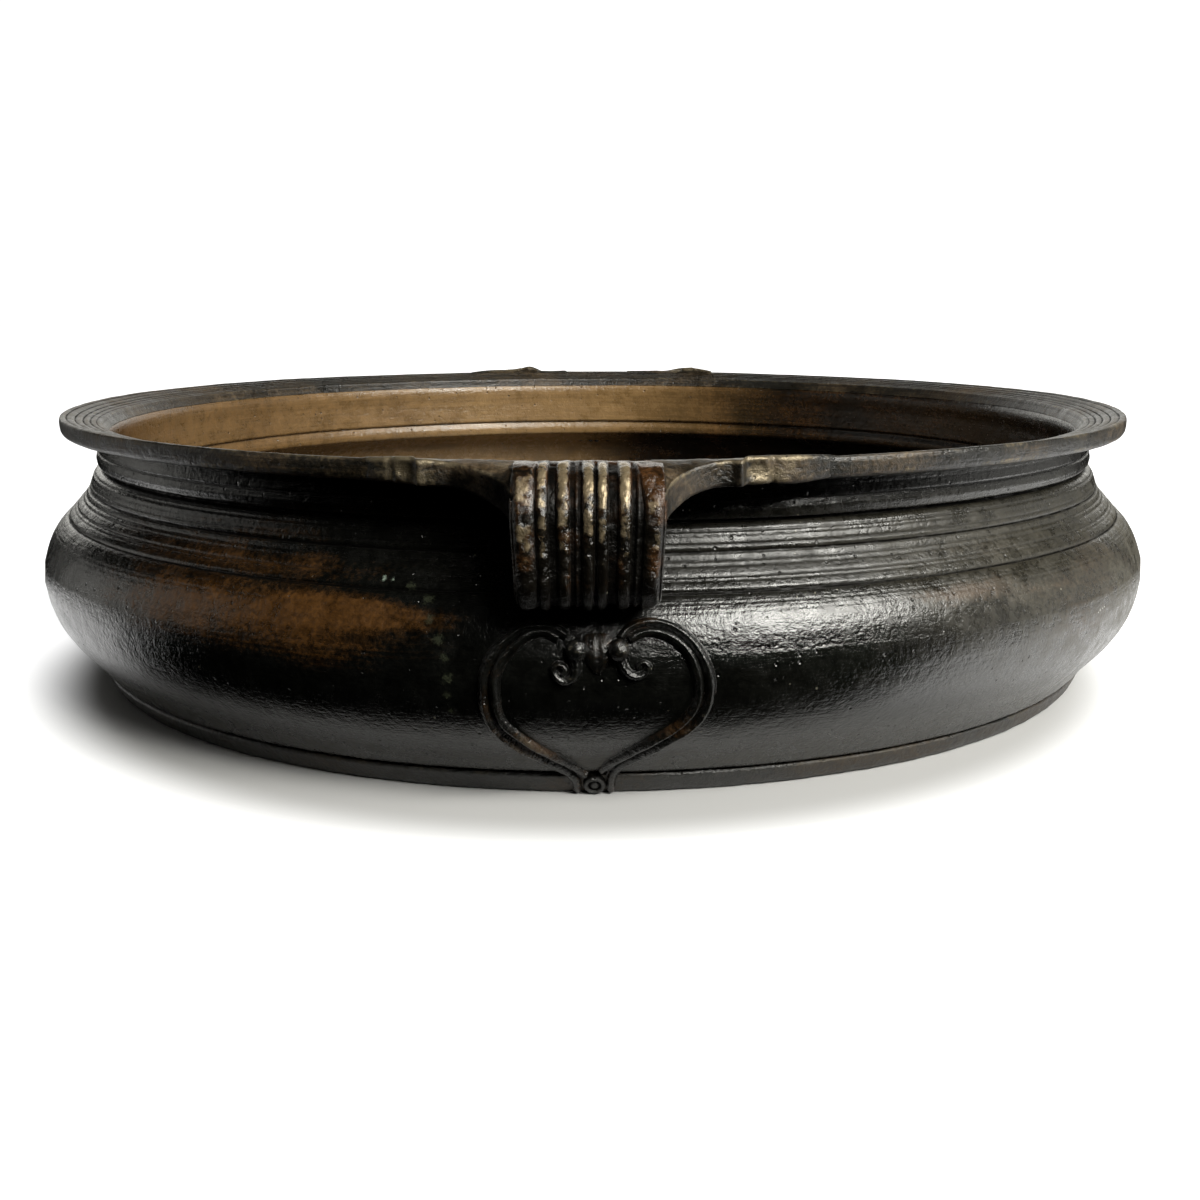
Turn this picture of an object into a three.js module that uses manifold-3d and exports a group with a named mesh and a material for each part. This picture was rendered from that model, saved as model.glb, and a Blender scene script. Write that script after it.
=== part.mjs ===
// A cast brass urli: a wide shallow cooking bowl with a carinated neck, a flat
// flanged rim, a foot ring, and two fluted strap handles. Under each handle a
// heart of doubled cord is laid on the belly, closed by two beads and a boss.
// Millimetres, +Z up. The origin is the centre of the foot, on the ground.
import * as THREE from 'three';
import * as BufferGeometryUtils from 'three/addons/utils/BufferGeometryUtils.js';
import Module from 'manifold-3d';

// ---------------------------------------------------------------- dimensions
const RIM_RADIUS = 250;
const RIM_TOP = 120;
const RIM_THICKNESS = 8;
const MOUTH_RADIUS = 232;
const MOUTH_DROP = 3.9;
const MOUTH_LIP = 1.6;
const RIM_BEVEL = 1.6;
const RIM_LEAN = 0.3;
const RIM_TOP_EDGE = RIM_RADIUS - 1;
const RIM_TOP_EDGE_DROP = 1.2;
const RIM_GROOVE_RADII = [247, 243.4, 240, 237.2];
const RIM_GROOVE_DEPTH = 0.5;
const RIM_GROOVE_HALF_WIDTH = 0.7;

const NECK_BORE = 229.7;
const NECK_FOOT_RADIUS = 239.3;
const NECK_EDGE_RADIUS = 234.2;
const NECK_TOP_RADIUS = 234.6;
const NECK_STEP_WIDTH = 1.4;
const NECK_STEP_HEIGHT = 1.5;
const SHOULDER_STEP_WIDTH = 0.8;
const BELLY_RADIUS = 261.1;
const BELLY_HEIGHT = 48;
const FLOOR_UNDERSIDE = 4;
const FLOOR_TOP = 8;
const FLOOR_JOINT = 226;
const NECK_JOINT = 87.1;

const FOOT_HEIGHT = 7.8;
const FOOT_BORE = 229;
const FOOT_SEAT_HEIGHT = 5;
const FOOT_LEDGE_RADIUS = 234.4;
const FOOT_BOTTOM_RADIUS = 234.8;
const FOOT_RADIUS = 238.4;
const FOOT_TOP_BEVEL = 0.8;
const BELLY_BOTTOM_RADIUS = 236.4;

const GAP = 0.3;
const TURNS = 60;
const BELLY_STEPS = 11;
const CAVITY_STEPS = 9;
const SMALL_TURNS = 20;

const HANDLE_SHIFT = -1.9;
const STRAP_WIDTH = 48;
const STRAP_THICKNESS = 6;
const STRAP_TOP = 120.3;
const STRAP_RUN = 8;
const STRAP_BEND = 14.5;
const STRAP_CURL = 10;
const STRAP_CURL_HEIGHT = 86;
const STRAP_ROOT = -6;
const QUARTER_TURN_DEGREES = [0, 22.5, 45, 67.5, 90];
const STRAP_STEPS = 16;
const REED_CENTRES = [-20.2, -14.2, -8, 0, 4.5, 11.7, 20.6];
const REED_WIDTHS = [7, 4, 4.8, 3.9, 3.9, 4.6, 6.2];
const REED_RISE = 1.6;

// Wings, as [distance across, distance out past the rim's edge].
const WING_THICKNESS = 8;
const WING_SIDE_STEPS = [0, 6, 9, 12, 15, 18];
const WING_FILLET_TOP = 19.5;
const WING_FILLET_PULL = [2.5, 9];
const WING_FILLET_END = [14, 7.2];
const WING_FILLET_PARTS = 8;
const WING_TAB_AND_LOBE = [
  [50, 5.2], [51, 1.2], [55, 1.2], [60, -0.4], [62, -1.8], [66, -2], [73, -6], [79, -11], [78, -18],
];

const HEART_SHIFT = 1.1;
const CORD_RADIUS = 1.6;
const CORD_SIDES = 6;
const CORD_STEPS = 18;
const BEAD_RADIUS = 3.45;
const BEAD_OFFSET = 6.85;
const BEAD_HEIGHT = 58.6;
const BEAD_LIFT = 1.9;
const BALL_SEGMENTS = 12;
const BALL_RINGS = 8;
const BRIDGE_HALF_SIZE = [3.1, 2.6, 6.2];
const BRIDGE_HEIGHT = 56.2;
const BRIDGE_LIFT = 1;
const BOSS_RADIUS = 3.7;
const BOSS_HEIGHT = 4.1;
const BOSS_SHIFT = 0.1;

// ----------------------------------------------------------------- materials
const brass = (color, roughness) => new THREE.MeshStandardMaterial({ color, roughness, metalness: 0.85 });
const darkBrass = brass(0x2a211b, 0.38);
const rimBrass = brass(0x4a4036, 0.42);
const footBrass = brass(0x241d18, 0.48);
const wornBrass = brass(0x5a4632, 0.36);
const reliefBrass = brass(0x2f2822, 0.34);

// -------------------------------------------------------------- manifold help
const wasm = await Module();
wasm.setup();

function toSolid(geometry) {
  const bare = geometry.clone();
  bare.deleteAttribute('normal');
  bare.deleteAttribute('uv');
  const merged = BufferGeometryUtils.mergeVertices(bare, 1e-4);
  const vertProperties = new Float32Array(merged.attributes.position.array);
  const triVerts = new Uint32Array(merged.index.array);
  return new wasm.Manifold(new wasm.Mesh({ numProp: 3, vertProperties, triVerts }));
}

function toGeometry(solid) {
  const mesh = solid.getMesh();
  const geometry = new THREE.BufferGeometry();
  geometry.setAttribute('position', new THREE.BufferAttribute(mesh.vertProperties, mesh.numProp));
  geometry.setIndex(new THREE.BufferAttribute(mesh.triVerts, 1));
  geometry.computeVertexNormals();
  return geometry;
}

// ------------------------------------------------------------- bowl profiles
// Profiles are lists of (radius, height) points. The lathe turns about Z.
const point = (radius, height) => new THREE.Vector2(radius, height);

// The round belly, from the foot up to the groove under the shoulder band.
const bellyCurve = new THREE.SplineCurve([
  point(237.4, 9.2),
  point(241.2, 12.2),
  point(247.2, 18.7),
  point(252.8, 25),
  point(257.2, 32.5),
  point(260.2, 40),
  point(BELLY_RADIUS, BELLY_HEIGHT),
  point(260.5, 56),
  point(258.2, 63),
  point(254.4, 70),
  point(250, 75.3),
]);

// The shoulder band, from its groove up to the neck.
const shoulder = [
  point(248.8, 75.9),
  point(248.4, 76.6),
  point(245.2, 80.2),
  point(242.2, 83.6),
  point(240.6, 86.2),
  point(239.3, 86.8),
];

// The neck: a lower ring, a notch, and an upper ring with a fine line.
const neck = [
  point(239.4, 87.8),
  point(238.5, 91),
  point(236.8, 94.6),
  point(234.8, 96.2),
  point(233.4, 96.8),
  point(235, 97.6),
  point(235.9, 100.4),
  point(235.3, 103.7),
  point(234.6, 104.1),
  point(235.2, 104.7),
  point(NECK_TOP_RADIUS, 109),
];

// The outer side of the foot ring, from the ground up.
const footSide = [
  point(FOOT_BOTTOM_RADIUS, 0),
  point(237.2, 2.6),
  point(FOOT_RADIUS, 6.8),
];

// The inside of the belly, from the ridge under the neck down to the floor.
const cavityCurve = new THREE.SplineCurve([
  point(236.5, 79.4),
  point(245.8, 72.6),
  point(252.6, 62),
  point(255.4, 48),
  point(252.4, 34.4),
  point(244.8, 22.6),
  point(235.4, 13.4),
  point(230.6, 10),
  point(FLOOR_JOINT + GAP / 2, FLOOR_TOP),
]);

function revolve(profile, turns = TURNS) {
  const geometry = new THREE.LatheGeometry(profile, turns);
  geometry.rotateX(Math.PI / 2);
  return geometry;
}

function closedRing(profile) {
  return revolve([...profile, profile[0].clone()]);
}

// The flat floor disc.
function bowlFloorGeometry() {
  const edge = FLOOR_JOINT - GAP / 2;
  return revolve([
    point(0, FLOOR_UNDERSIDE),
    point(edge, FLOOR_UNDERSIDE),
    point(edge, FLOOR_TOP),
    point(0, FLOOR_TOP),
  ]);
}

// The belly wall with its shoulder band. It sits in the foot ring.
function bellyWallGeometry() {
  const seatRadius = FOOT_BORE - GAP;
  const floorEdge = FLOOR_JOINT + GAP / 2;
  return closedRing([
    point(floorEdge, FLOOR_UNDERSIDE),
    point(seatRadius, FLOOR_UNDERSIDE),
    point(seatRadius, FOOT_SEAT_HEIGHT + GAP),
    point(FOOT_LEDGE_RADIUS - GAP, FOOT_SEAT_HEIGHT + GAP),
    point(FOOT_LEDGE_RADIUS - GAP, FOOT_HEIGHT + GAP),
    point(BELLY_BOTTOM_RADIUS, FOOT_HEIGHT + GAP),
    ...bellyCurve.getPoints(BELLY_STEPS),
    ...shoulder,
    point(NECK_BORE + SHOULDER_STEP_WIDTH, NECK_JOINT - GAP),
    ...cavityCurve.getPoints(CAVITY_STEPS),
  ]);
}

// The neck with its two turned rings, and a small step inside.
function neckBandGeometry() {
  const neckTop = RIM_TOP - RIM_THICKNESS - GAP;
  return closedRing([
    point(NECK_BORE + NECK_STEP_WIDTH, NECK_JOINT),
    point(NECK_FOOT_RADIUS, NECK_JOINT),
    ...neck,
    point(NECK_EDGE_RADIUS, neckTop),
    point(NECK_BORE, neckTop),
    point(NECK_BORE, NECK_JOINT + NECK_STEP_HEIGHT),
  ]);
}

// The flat rim. Its top falls a little towards the mouth and has turned grooves.
function rimFlangeGeometry() {
  const underside = RIM_TOP - RIM_THICKNESS;
  const slope = MOUTH_DROP / (RIM_TOP_EDGE - MOUTH_RADIUS);
  const topAt = (radius) => RIM_TOP - (RIM_TOP_EDGE - radius) * slope;
  const profile = [
    point(NECK_BORE, underside),
    point(RIM_RADIUS - RIM_BEVEL, underside),
    point(RIM_RADIUS - RIM_LEAN, underside + RIM_BEVEL),
    point(RIM_RADIUS, RIM_TOP - RIM_TOP_EDGE_DROP),
    point(RIM_TOP_EDGE, RIM_TOP),
  ];
  for (const radius of RIM_GROOVE_RADII) {
    profile.push(point(radius + RIM_GROOVE_HALF_WIDTH, topAt(radius + RIM_GROOVE_HALF_WIDTH)));
    profile.push(point(radius, topAt(radius) - RIM_GROOVE_DEPTH));
    profile.push(point(radius - RIM_GROOVE_HALF_WIDTH, topAt(radius - RIM_GROOVE_HALF_WIDTH)));
  }
  profile.push(point(MOUTH_RADIUS, topAt(MOUTH_RADIUS)));
  profile.push(point(NECK_BORE, topAt(MOUTH_RADIUS) - MOUTH_LIP));
  return closedRing(profile);
}

// The foot ring, with a stepped seat inside that the belly wall sits in.
function footRingGeometry() {
  return closedRing([
    point(FOOT_BORE, 0),
    ...footSide,
    point(FOOT_RADIUS - FOOT_TOP_BEVEL, FOOT_HEIGHT),
    point(FOOT_LEDGE_RADIUS, FOOT_HEIGHT),
    point(FOOT_LEDGE_RADIUS, FOOT_SEAT_HEIGHT),
    point(FOOT_BORE, FOOT_SEAT_HEIGHT),
  ]);
}

// Everything laid on the bowl is trimmed by this slightly swollen bowl body,
// so that it follows the surface with a small gap.
function clearanceSolid() {
  const swell = (p) => point(p.x + GAP, p.y);
  return toSolid(revolve([
    point(0, -1),
    point(FOOT_BOTTOM_RADIUS + GAP, -1),
    ...footSide.map(swell),
    point(FOOT_RADIUS + GAP, FOOT_HEIGHT + GAP),
    ...bellyCurve.getPoints(BELLY_STEPS).map(swell),
    ...shoulder.map(swell),
    ...neck.map(swell),
    point(NECK_TOP_RADIUS + GAP, RIM_TOP - RIM_THICKNESS - 2 * GAP),
    point(RIM_RADIUS - RIM_BEVEL, RIM_TOP - RIM_THICKNESS - GAP),
    point(RIM_RADIUS + GAP, RIM_TOP - RIM_THICKNESS + RIM_BEVEL),
    point(RIM_RADIUS + GAP, RIM_TOP + 1),
    point(0, RIM_TOP + 1),
  ]));
}

// The same for the handles, with the turned mouldings smoothed over.
const smoothWall = [point(259.6, 60), point(254.9, 70), point(242.4, 84)];

function handleClearanceSolid() {
  const underRim = RIM_TOP - RIM_THICKNESS - GAP;
  const bottom = smoothWall[0].y;
  const neckRadius = smoothWall[smoothWall.length - 1].x;
  return toSolid(revolve([
    point(0, bottom),
    ...smoothWall.map((p) => point(p.x + GAP, p.y)),
    point(neckRadius + GAP, underRim),
    point(RIM_RADIUS + GAP, underRim),
    point(RIM_RADIUS + GAP, RIM_TOP + 2),
    point(0, RIM_TOP + 2),
  ]));
}

const clearance = clearanceSolid();
const handleClearance = handleClearanceSolid();

function trimmed(geometry, ...cutters) {
  let solid = toSolid(geometry);
  for (const cutter of cutters) solid = solid.subtract(cutter);
  return toGeometry(solid);
}

// -------------------------------------------------------------------- handle
// Handles are modelled on the -Y side, where "out" is the distance beyond the
// rim's edge.

// The middle line of the strap: out from the rim, round a bend, down, and
// curled back in to the shoulder of the bowl.
function strapPath() {
  const middleTop = STRAP_TOP - STRAP_THICKNESS / 2;
  const place = (out, height) => new THREE.Vector3(0, -RIM_RADIUS - out, height);
  const bendPoint = (angle) => place(
    STRAP_RUN + STRAP_BEND * Math.sin(angle),
    middleTop - STRAP_BEND + STRAP_BEND * Math.cos(angle),
  );
  const curlOut = STRAP_RUN + STRAP_BEND - STRAP_CURL;
  const curlPoint = (angle) => place(
    curlOut + STRAP_CURL * Math.cos(angle),
    STRAP_CURL_HEIGHT - STRAP_CURL * Math.sin(angle),
  );
  const points = [place(STRAP_ROOT, middleTop), place(STRAP_RUN / 2, middleTop)];
  const quarterTurn = QUARTER_TURN_DEGREES.map(THREE.MathUtils.degToRad);
  points.push(...quarterTurn.map(bendPoint));
  points.push(...quarterTurn.map(curlPoint));
  points.push(place(curlOut / 2, STRAP_CURL_HEIGHT - STRAP_CURL));
  points.push(place(STRAP_ROOT, STRAP_CURL_HEIGHT - STRAP_CURL));
  return new THREE.CatmullRomCurve3(points, false, 'centripetal');
}

// The strap's section: flat behind, seven rounded reeds in front. Section x runs
// towards the hollow side of the strap, and section y runs across it.
function strapSection() {
  const half = STRAP_WIDTH / 2;
  const back = STRAP_THICKNESS / 2;
  const valley = REED_RISE - STRAP_THICKNESS / 2;
  const outline = [point(back, -half), point(back, half)];
  for (let i = REED_CENTRES.length - 1; i >= 0; i -= 1) {
    const centre = REED_CENTRES[i];
    const reach = REED_WIDTHS[i] / 2;
    outline.push(point(valley, centre + reach));
    outline.push(point(valley - REED_RISE, centre + reach / 2));
    outline.push(point(valley - REED_RISE, centre - reach / 2));
    outline.push(point(valley, centre - reach));
  }
  return new THREE.Shape(outline);
}

function strapGeometry() {
  const geometry = new THREE.ExtrudeGeometry(strapSection(), {
    extrudePath: strapPath(),
    steps: STRAP_STEPS,
    bevelEnabled: false,
  });
  geometry.translate(HANDLE_SHIFT, 0, 0);
  return trimmed(geometry, handleClearance);
}

// How far the strap's upper face has dropped at a distance out from the rim.
function strapDrop(out) {
  const outerBend = STRAP_BEND + STRAP_THICKNESS / 2;
  const past = Math.min(Math.max(out - STRAP_RUN, 0), outerBend);
  return outerBend - Math.sqrt(outerBend * outerBend - past * past);
}

// A wing flares from the strap's side into the rim: a hollow fillet beside the
// strap, a stepped tab, and a low lobe that fades into the rim's edge.
function wingGeometry(side) {
  const inner = STRAP_WIDTH / 2 + GAP;
  const at = (across, out) => point(side * across + HANDLE_SHIFT, RIM_RADIUS + out);
  const besideStrap = ([across, out]) => at(inner + across, out);
  const fillet = new THREE.QuadraticBezierCurve(
    at(inner, WING_FILLET_TOP),
    besideStrap(WING_FILLET_PULL),
    besideStrap(WING_FILLET_END),
  );
  const outline = [
    at(inner, STRAP_ROOT),
    ...WING_SIDE_STEPS.map((out) => at(inner, out)),
    ...fillet.getPoints(WING_FILLET_PARTS),
    ...WING_TAB_AND_LOBE.map(([across, out]) => at(across, out)),
  ];
  const geometry = new THREE.ExtrudeGeometry(new THREE.Shape(outline), {
    depth: WING_THICKNESS,
    bevelEnabled: false,
  });
  const corner = geometry.attributes.position;
  for (let i = 0; i < corner.count; i += 1) {
    const distance = corner.getY(i);
    corner.setY(i, -distance);
    corner.setZ(i, STRAP_TOP - corner.getZ(i) - strapDrop(distance - RIM_RADIUS));
  }
  return trimmed(geometry, handleClearance);
}

// --------------------------------------------------------------- heart relief
const outerProfile = [
  point(FOOT_RADIUS, 0),
  point(FOOT_RADIUS, FOOT_HEIGHT),
  ...bellyCurve.getPoints(40),
];

function bowlRadiusAt(height) {
  const above = outerProfile.findIndex((p) => p.y >= height);
  const high = outerProfile[Math.max(above, 1)];
  const low = outerProfile[Math.max(above, 1) - 1];
  return THREE.MathUtils.mapLinear(height, low.y, high.y, low.x, high.x);
}

// A point on the front of the bowl, lifted off the surface along its normal.
function onBowl(across, height, lift) {
  const step = 1;
  const lean = (bowlRadiusAt(height + step) - bowlRadiusAt(height - step)) / (2 * step);
  const length = Math.hypot(1, lean);
  const radius = bowlRadiusAt(height) + lift / length;
  const x = across + HEART_SHIFT;
  return new THREE.Vector3(x, -Math.sqrt(radius * radius - x * x), height - (lift * lean) / length);
}

function cordGeometry(route, radius, steps, ...cutters) {
  const places = route.map(([across, height]) => onBowl(across, height, radius + GAP));
  const section = [];
  for (let i = 0; i < CORD_SIDES; i += 1) {
    const angle = (2 * Math.PI * i) / CORD_SIDES;
    section.push(point(radius * Math.cos(angle), radius * Math.sin(angle)));
  }
  const geometry = new THREE.ExtrudeGeometry(new THREE.Shape(section), {
    extrudePath: new THREE.CatmullRomCurve3(places, false, 'centripetal'),
    steps,
    bevelEnabled: false,
  });
  return trimmed(geometry, ...cutters);
}

// Routes are (across, height) from the foot, up round the lobe, to the bead.
// The heart was laid by hand, so its two sides differ a little.
const OUTER_CORD_ROUTES = {
  left: [
    [-7.2, 2.2], [-7.4, 6], [-14.7, 12.5], [-22, 17.7], [-29.2, 23.5], [-34.3, 29.2], [-36.9, 35],
    [-38, 43], [-37.3, 51.2], [-34.9, 56.5], [-30, 61.7], [-23.9, 65.1], [-18.4, 65.7], [-11, 63.8],
  ],
  right: [
    [4.9, 2.2], [5.1, 7], [8.5, 12.4], [15.4, 18.1], [24.5, 25.1], [31.3, 30.2], [35.6, 35.7],
    [37.6, 44], [37.2, 50], [35, 56], [31, 61], [25.7, 64.9], [20.2, 66.7], [14.7, 66.7], [9.6, 64.8],
  ],
};
const INNER_CORD_ROUTES = {
  left: [
    [-4.2, 8.6], [-8.3, 12.2], [-14, 16.7], [-20.4, 21.8], [-27, 28.1], [-31.4, 33.8],
    [-33.6, 40], [-34, 46], [-32.8, 52.4], [-29.8, 57], [-23.6, 61.1], [-18, 61.7], [-12.6, 60.6],
  ],
  right: [
    [1.4, 10.4], [5, 14.2], [12, 20.4], [20, 26.8], [28, 33], [32, 38.6],
    [33.6, 45], [32.8, 51], [29.6, 56.8], [25, 60.9], [19.7, 62.8], [14.6, 62.7], [10.6, 61.2],
  ],
};
const SCROLL_ROUTES = {
  left: [
    [-6.2, 54.2], [-6.6, 50.2], [-9.2, 48], [-12.4, 48.2], [-14.7, 50.6], [-14, 53.4], [-11.2, 53.8],
  ],
  right: [
    [8.4, 54], [9.8, 50.8], [12.6, 49.8], [15.4, 50], [17.4, 51.8], [16, 53.4], [14, 52.8],
  ],
};
const SCROLL_RADIUS = 1.1;
const SCROLL_STEPS = 12;

// A small ball on the bowl, to one side of the heart's cleft.
function ballGeometry(side, radius) {
  const ball = new THREE.SphereGeometry(radius, BALL_SEGMENTS, BALL_RINGS);
  const centre = onBowl(side * BEAD_OFFSET, BEAD_HEIGHT, BEAD_LIFT);
  ball.translate(centre.x, centre.y, centre.z);
  return ball;
}

function beadGeometry(side) {
  return trimmed(ballGeometry(side, BEAD_RADIUS), clearance);
}

// The saddle that joins the two beads.
function bridgeGeometry() {
  const saddle = new THREE.SphereGeometry(1, BALL_SEGMENTS, BALL_RINGS);
  saddle.scale(...BRIDGE_HALF_SIZE);
  const centre = onBowl(0, BRIDGE_HEIGHT, BRIDGE_LIFT);
  saddle.translate(centre.x, centre.y, centre.z);
  return trimmed(saddle, clearance, ...beadCutters());
}

function beadCutters() {
  return [-1, 1].map((side) => toSolid(ballGeometry(side, BEAD_RADIUS + GAP)));
}

// A round boss with a sunk ring and a small centre button, on the foot ring.
function bossGeometry() {
  const geometry = revolve([
    point(0, -2),
    point(BOSS_RADIUS, -2),
    point(BOSS_RADIUS, 1.8),
    point(2.7, 2.6),
    point(1.9, 1.9),
    point(1.3, 1.9),
    point(0.8, 2.5),
    point(0, 2.7),
  ], SMALL_TURNS);
  geometry.rotateX(Math.PI / 2);
  geometry.translate(BOSS_SHIFT, -FOOT_RADIUS, BOSS_HEIGHT);
  return trimmed(geometry, clearance);
}

// ------------------------------------------------------------------- assembly
function named(name, geometry, material) {
  const mesh = new THREE.Mesh(geometry, material);
  mesh.name = name;
  return mesh;
}

// Everything at one end of the bowl: the handle, the heart below it and its boss.
function handleGroup(end) {
  const group = new THREE.Group();
  group.add(named(`${end}_handle_strap`, strapGeometry(), wornBrass));
  for (const [word, side] of [['left', -1], ['right', 1]]) {
    const beads = beadCutters();
    const outerCord = cordGeometry(OUTER_CORD_ROUTES[word], CORD_RADIUS, CORD_STEPS, ...beads);
    const innerCord = cordGeometry(INNER_CORD_ROUTES[word], CORD_RADIUS, CORD_STEPS, ...beads);
    const scroll = cordGeometry(SCROLL_ROUTES[word], SCROLL_RADIUS, SCROLL_STEPS, ...beads);
    group.add(named(`${end}_handle_wing_${word}`, wingGeometry(side), rimBrass));
    group.add(named(`${end}_heart_outer_cord_${word}`, outerCord, reliefBrass));
    group.add(named(`${end}_heart_inner_cord_${word}`, innerCord, reliefBrass));
    group.add(named(`${end}_heart_scroll_${word}`, scroll, reliefBrass));
    group.add(named(`${end}_heart_bead_${word}`, beadGeometry(side), reliefBrass));
  }
  group.add(named(`${end}_heart_bridge`, bridgeGeometry(), reliefBrass));
  group.add(named(`${end}_foot_boss`, bossGeometry(), footBrass));
  return group;
}

const urli = new THREE.Group();
urli.add(named('bowl_floor', bowlFloorGeometry(), darkBrass));
urli.add(named('belly_wall', bellyWallGeometry(), darkBrass));
urli.add(named('neck_band', neckBandGeometry(), darkBrass));
urli.add(named('rim_flange', rimFlangeGeometry(), rimBrass));
urli.add(named('foot_ring', footRingGeometry(), footBrass));
urli.add(handleGroup('front'));
const rear = handleGroup('rear');
rear.rotation.z = Math.PI;
urli.add(rear);

export default urli;
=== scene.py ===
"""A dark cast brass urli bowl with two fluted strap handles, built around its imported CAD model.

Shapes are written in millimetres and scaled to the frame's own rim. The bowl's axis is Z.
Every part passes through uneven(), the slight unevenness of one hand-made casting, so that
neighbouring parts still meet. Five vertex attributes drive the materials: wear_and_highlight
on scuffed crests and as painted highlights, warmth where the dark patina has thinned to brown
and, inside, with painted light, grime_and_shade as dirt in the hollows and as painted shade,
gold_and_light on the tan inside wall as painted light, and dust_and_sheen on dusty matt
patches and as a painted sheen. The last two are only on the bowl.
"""

import itertools
import math

import bpy
import numpy as np
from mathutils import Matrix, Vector


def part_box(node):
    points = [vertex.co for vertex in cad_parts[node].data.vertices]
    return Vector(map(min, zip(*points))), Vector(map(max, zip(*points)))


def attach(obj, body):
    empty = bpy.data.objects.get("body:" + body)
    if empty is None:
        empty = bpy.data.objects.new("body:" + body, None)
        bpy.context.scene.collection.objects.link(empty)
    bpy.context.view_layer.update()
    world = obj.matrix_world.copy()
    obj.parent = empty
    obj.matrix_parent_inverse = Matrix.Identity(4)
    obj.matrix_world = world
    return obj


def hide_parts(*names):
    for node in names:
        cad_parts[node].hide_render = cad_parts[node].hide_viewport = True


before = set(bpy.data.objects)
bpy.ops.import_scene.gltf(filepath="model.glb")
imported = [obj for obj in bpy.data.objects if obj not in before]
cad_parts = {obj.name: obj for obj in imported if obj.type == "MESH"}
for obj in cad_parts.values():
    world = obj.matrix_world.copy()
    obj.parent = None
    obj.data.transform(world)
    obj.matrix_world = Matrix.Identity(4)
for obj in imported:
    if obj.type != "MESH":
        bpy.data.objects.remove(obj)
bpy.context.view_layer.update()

# ---------------------------------------------------------------- sizes, in millimetres

RIM_RADIUS = 250.0
RIM_TOP = 120.0
RIM_UNDERSIDE = 112.0
MOUTH_RADIUS = 232.3
MOUTH_DROP = 3.9
NECK_BORE = 229.9
FLOOR_TOP = 8.0
FLOOR_UNDERSIDE = 4.0
FOOT_BORE = 229.0
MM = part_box("rim_flange")[1].x / RIM_RADIUS

# Outer wall, as (radius, height): belly, shoulder band, lower neck ring, upper neck ring.
BELLY = [
    (233.0, 7.0), (237.3, 8.4), (238.9, 9.1), (242.8, 14.0), (247.3, 19.0), (252.5, 25.0),
    (256.9, 32.0), (259.8, 40.0), (261.1, 48.0), (260.6, 56.0), (258.3, 63.0), (254.5, 70.0),
    (249.7, 75.3),
]
SHOULDER = [(249.7, 75.3), (248.4, 76.6), (245.2, 80.2), (242.2, 83.6), (240.8, 85.6), (240.3, 86.5)]
LOWER_RING = [(239.2, 86.9), (239.4, 87.8), (238.5, 91.0), (236.8, 94.6), (234.8, 96.2), (233.4, 96.8)]
UPPER_RING = [(233.4, 96.8), (235.0, 97.6), (235.9, 100.4), (235.3, 103.7), (234.8, 106.5), (234.3, 113.5)]

# Inside, from the neck down over the ridge band and round the cavity to the floor.
NECK_INSIDE = [(231.2, 113.2), (229.9, 111.0), (229.9, 100.0), (229.7, 88.6)]
RIDGE_BAND = [(229.7, 88.6), (231.5, 88.0), (231.2, 87.0), (230.3, 84.0), (230.9, 80.4), (234.5, 79.3)]
CAVITY = [
    (234.5, 79.3), (245.8, 72.6), (252.6, 62.0), (255.4, 48.0), (252.4, 34.4), (244.8, 22.6),
    (235.4, 13.4), (226.5, 9.1), (215.0, 8.0),
]

# Turned lines on the outer wall, as (height, depth, half width).
WALL_LINES = [
    (107.6, 0.10, 0.35), (103.9, 0.32, 0.45), (101.8, 0.08, 0.35), (99.4, 0.10, 0.4),
    (96.7, 0.55, 0.6), (94.0, 0.34, 0.45), (91.9, 0.12, 0.4), (89.5, 0.30, 0.45), (84.6, 0.22, 0.4),
    (82.9, 0.20, 0.4), (79.8, 0.30, 0.45), (78.6, 0.22, 0.4), (75.4, 0.95, 0.6), (74.2, 0.20, 0.35),
    (73.2, 0.14, 0.3), (72.1, 0.18, 0.35), (71.0, 0.12, 0.3), (69.7, 0.15, 0.35), (67.9, 0.07, 0.3),
]
# Turned lines on the rim's top, as (radius, depth, half width).
RIM_LINES = [(247.0, 0.5, 0.6), (243.4, 0.6, 0.7), (240.0, 0.6, 0.7), (237.2, 0.5, 0.6), (234.6, 0.25, 0.5)]

# Handles. Lateral positions are from the strap's centre line.
STRAP_SHIFT = -1.9
STRAP_HALF_WIDTH = 24.0
STRAP_THICKNESS = 6.0
STRAP_TOP = 120.3
STRAP_RUN = 8.0
STRAP_BEND = 14.5
STRAP_CURL = 10.0
STRAP_CURL_HEIGHT = 86.0
STRAP_VALLEY = 1.7
# The strap sinks into the rim's slope at its root, and the rear one sits a little lower.
STRAP_ROOT_DROP = 2.6
REAR_STRAP_DROP = 1.8
# Reeds, as (place across the strap, half width, height).
REEDS = [
    (-20.5, 3.7, 1.45), (-14.6, 2.0, 1.35), (-7.9, 2.2, 1.6), (-3.6, 0.7, 0.6), (0.1, 2.1, 1.75),
    (4.6, 1.9, 1.6), (11.7, 2.2, 1.6), (15.9, 0.7, 0.6), (20.8, 3.2, 1.5),
]

# Where the reeds rise out of the strap's top, as the distance past the rim at places across it.
REED_START_PLACES = [-24.0, -18.0, -16.0, 14.5, 17.5, 24.0]
REED_STARTS = [15.0, 13.0, 0.0, 0.0, 19.0, 22.0]
REED_FADE = 6.0

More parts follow.
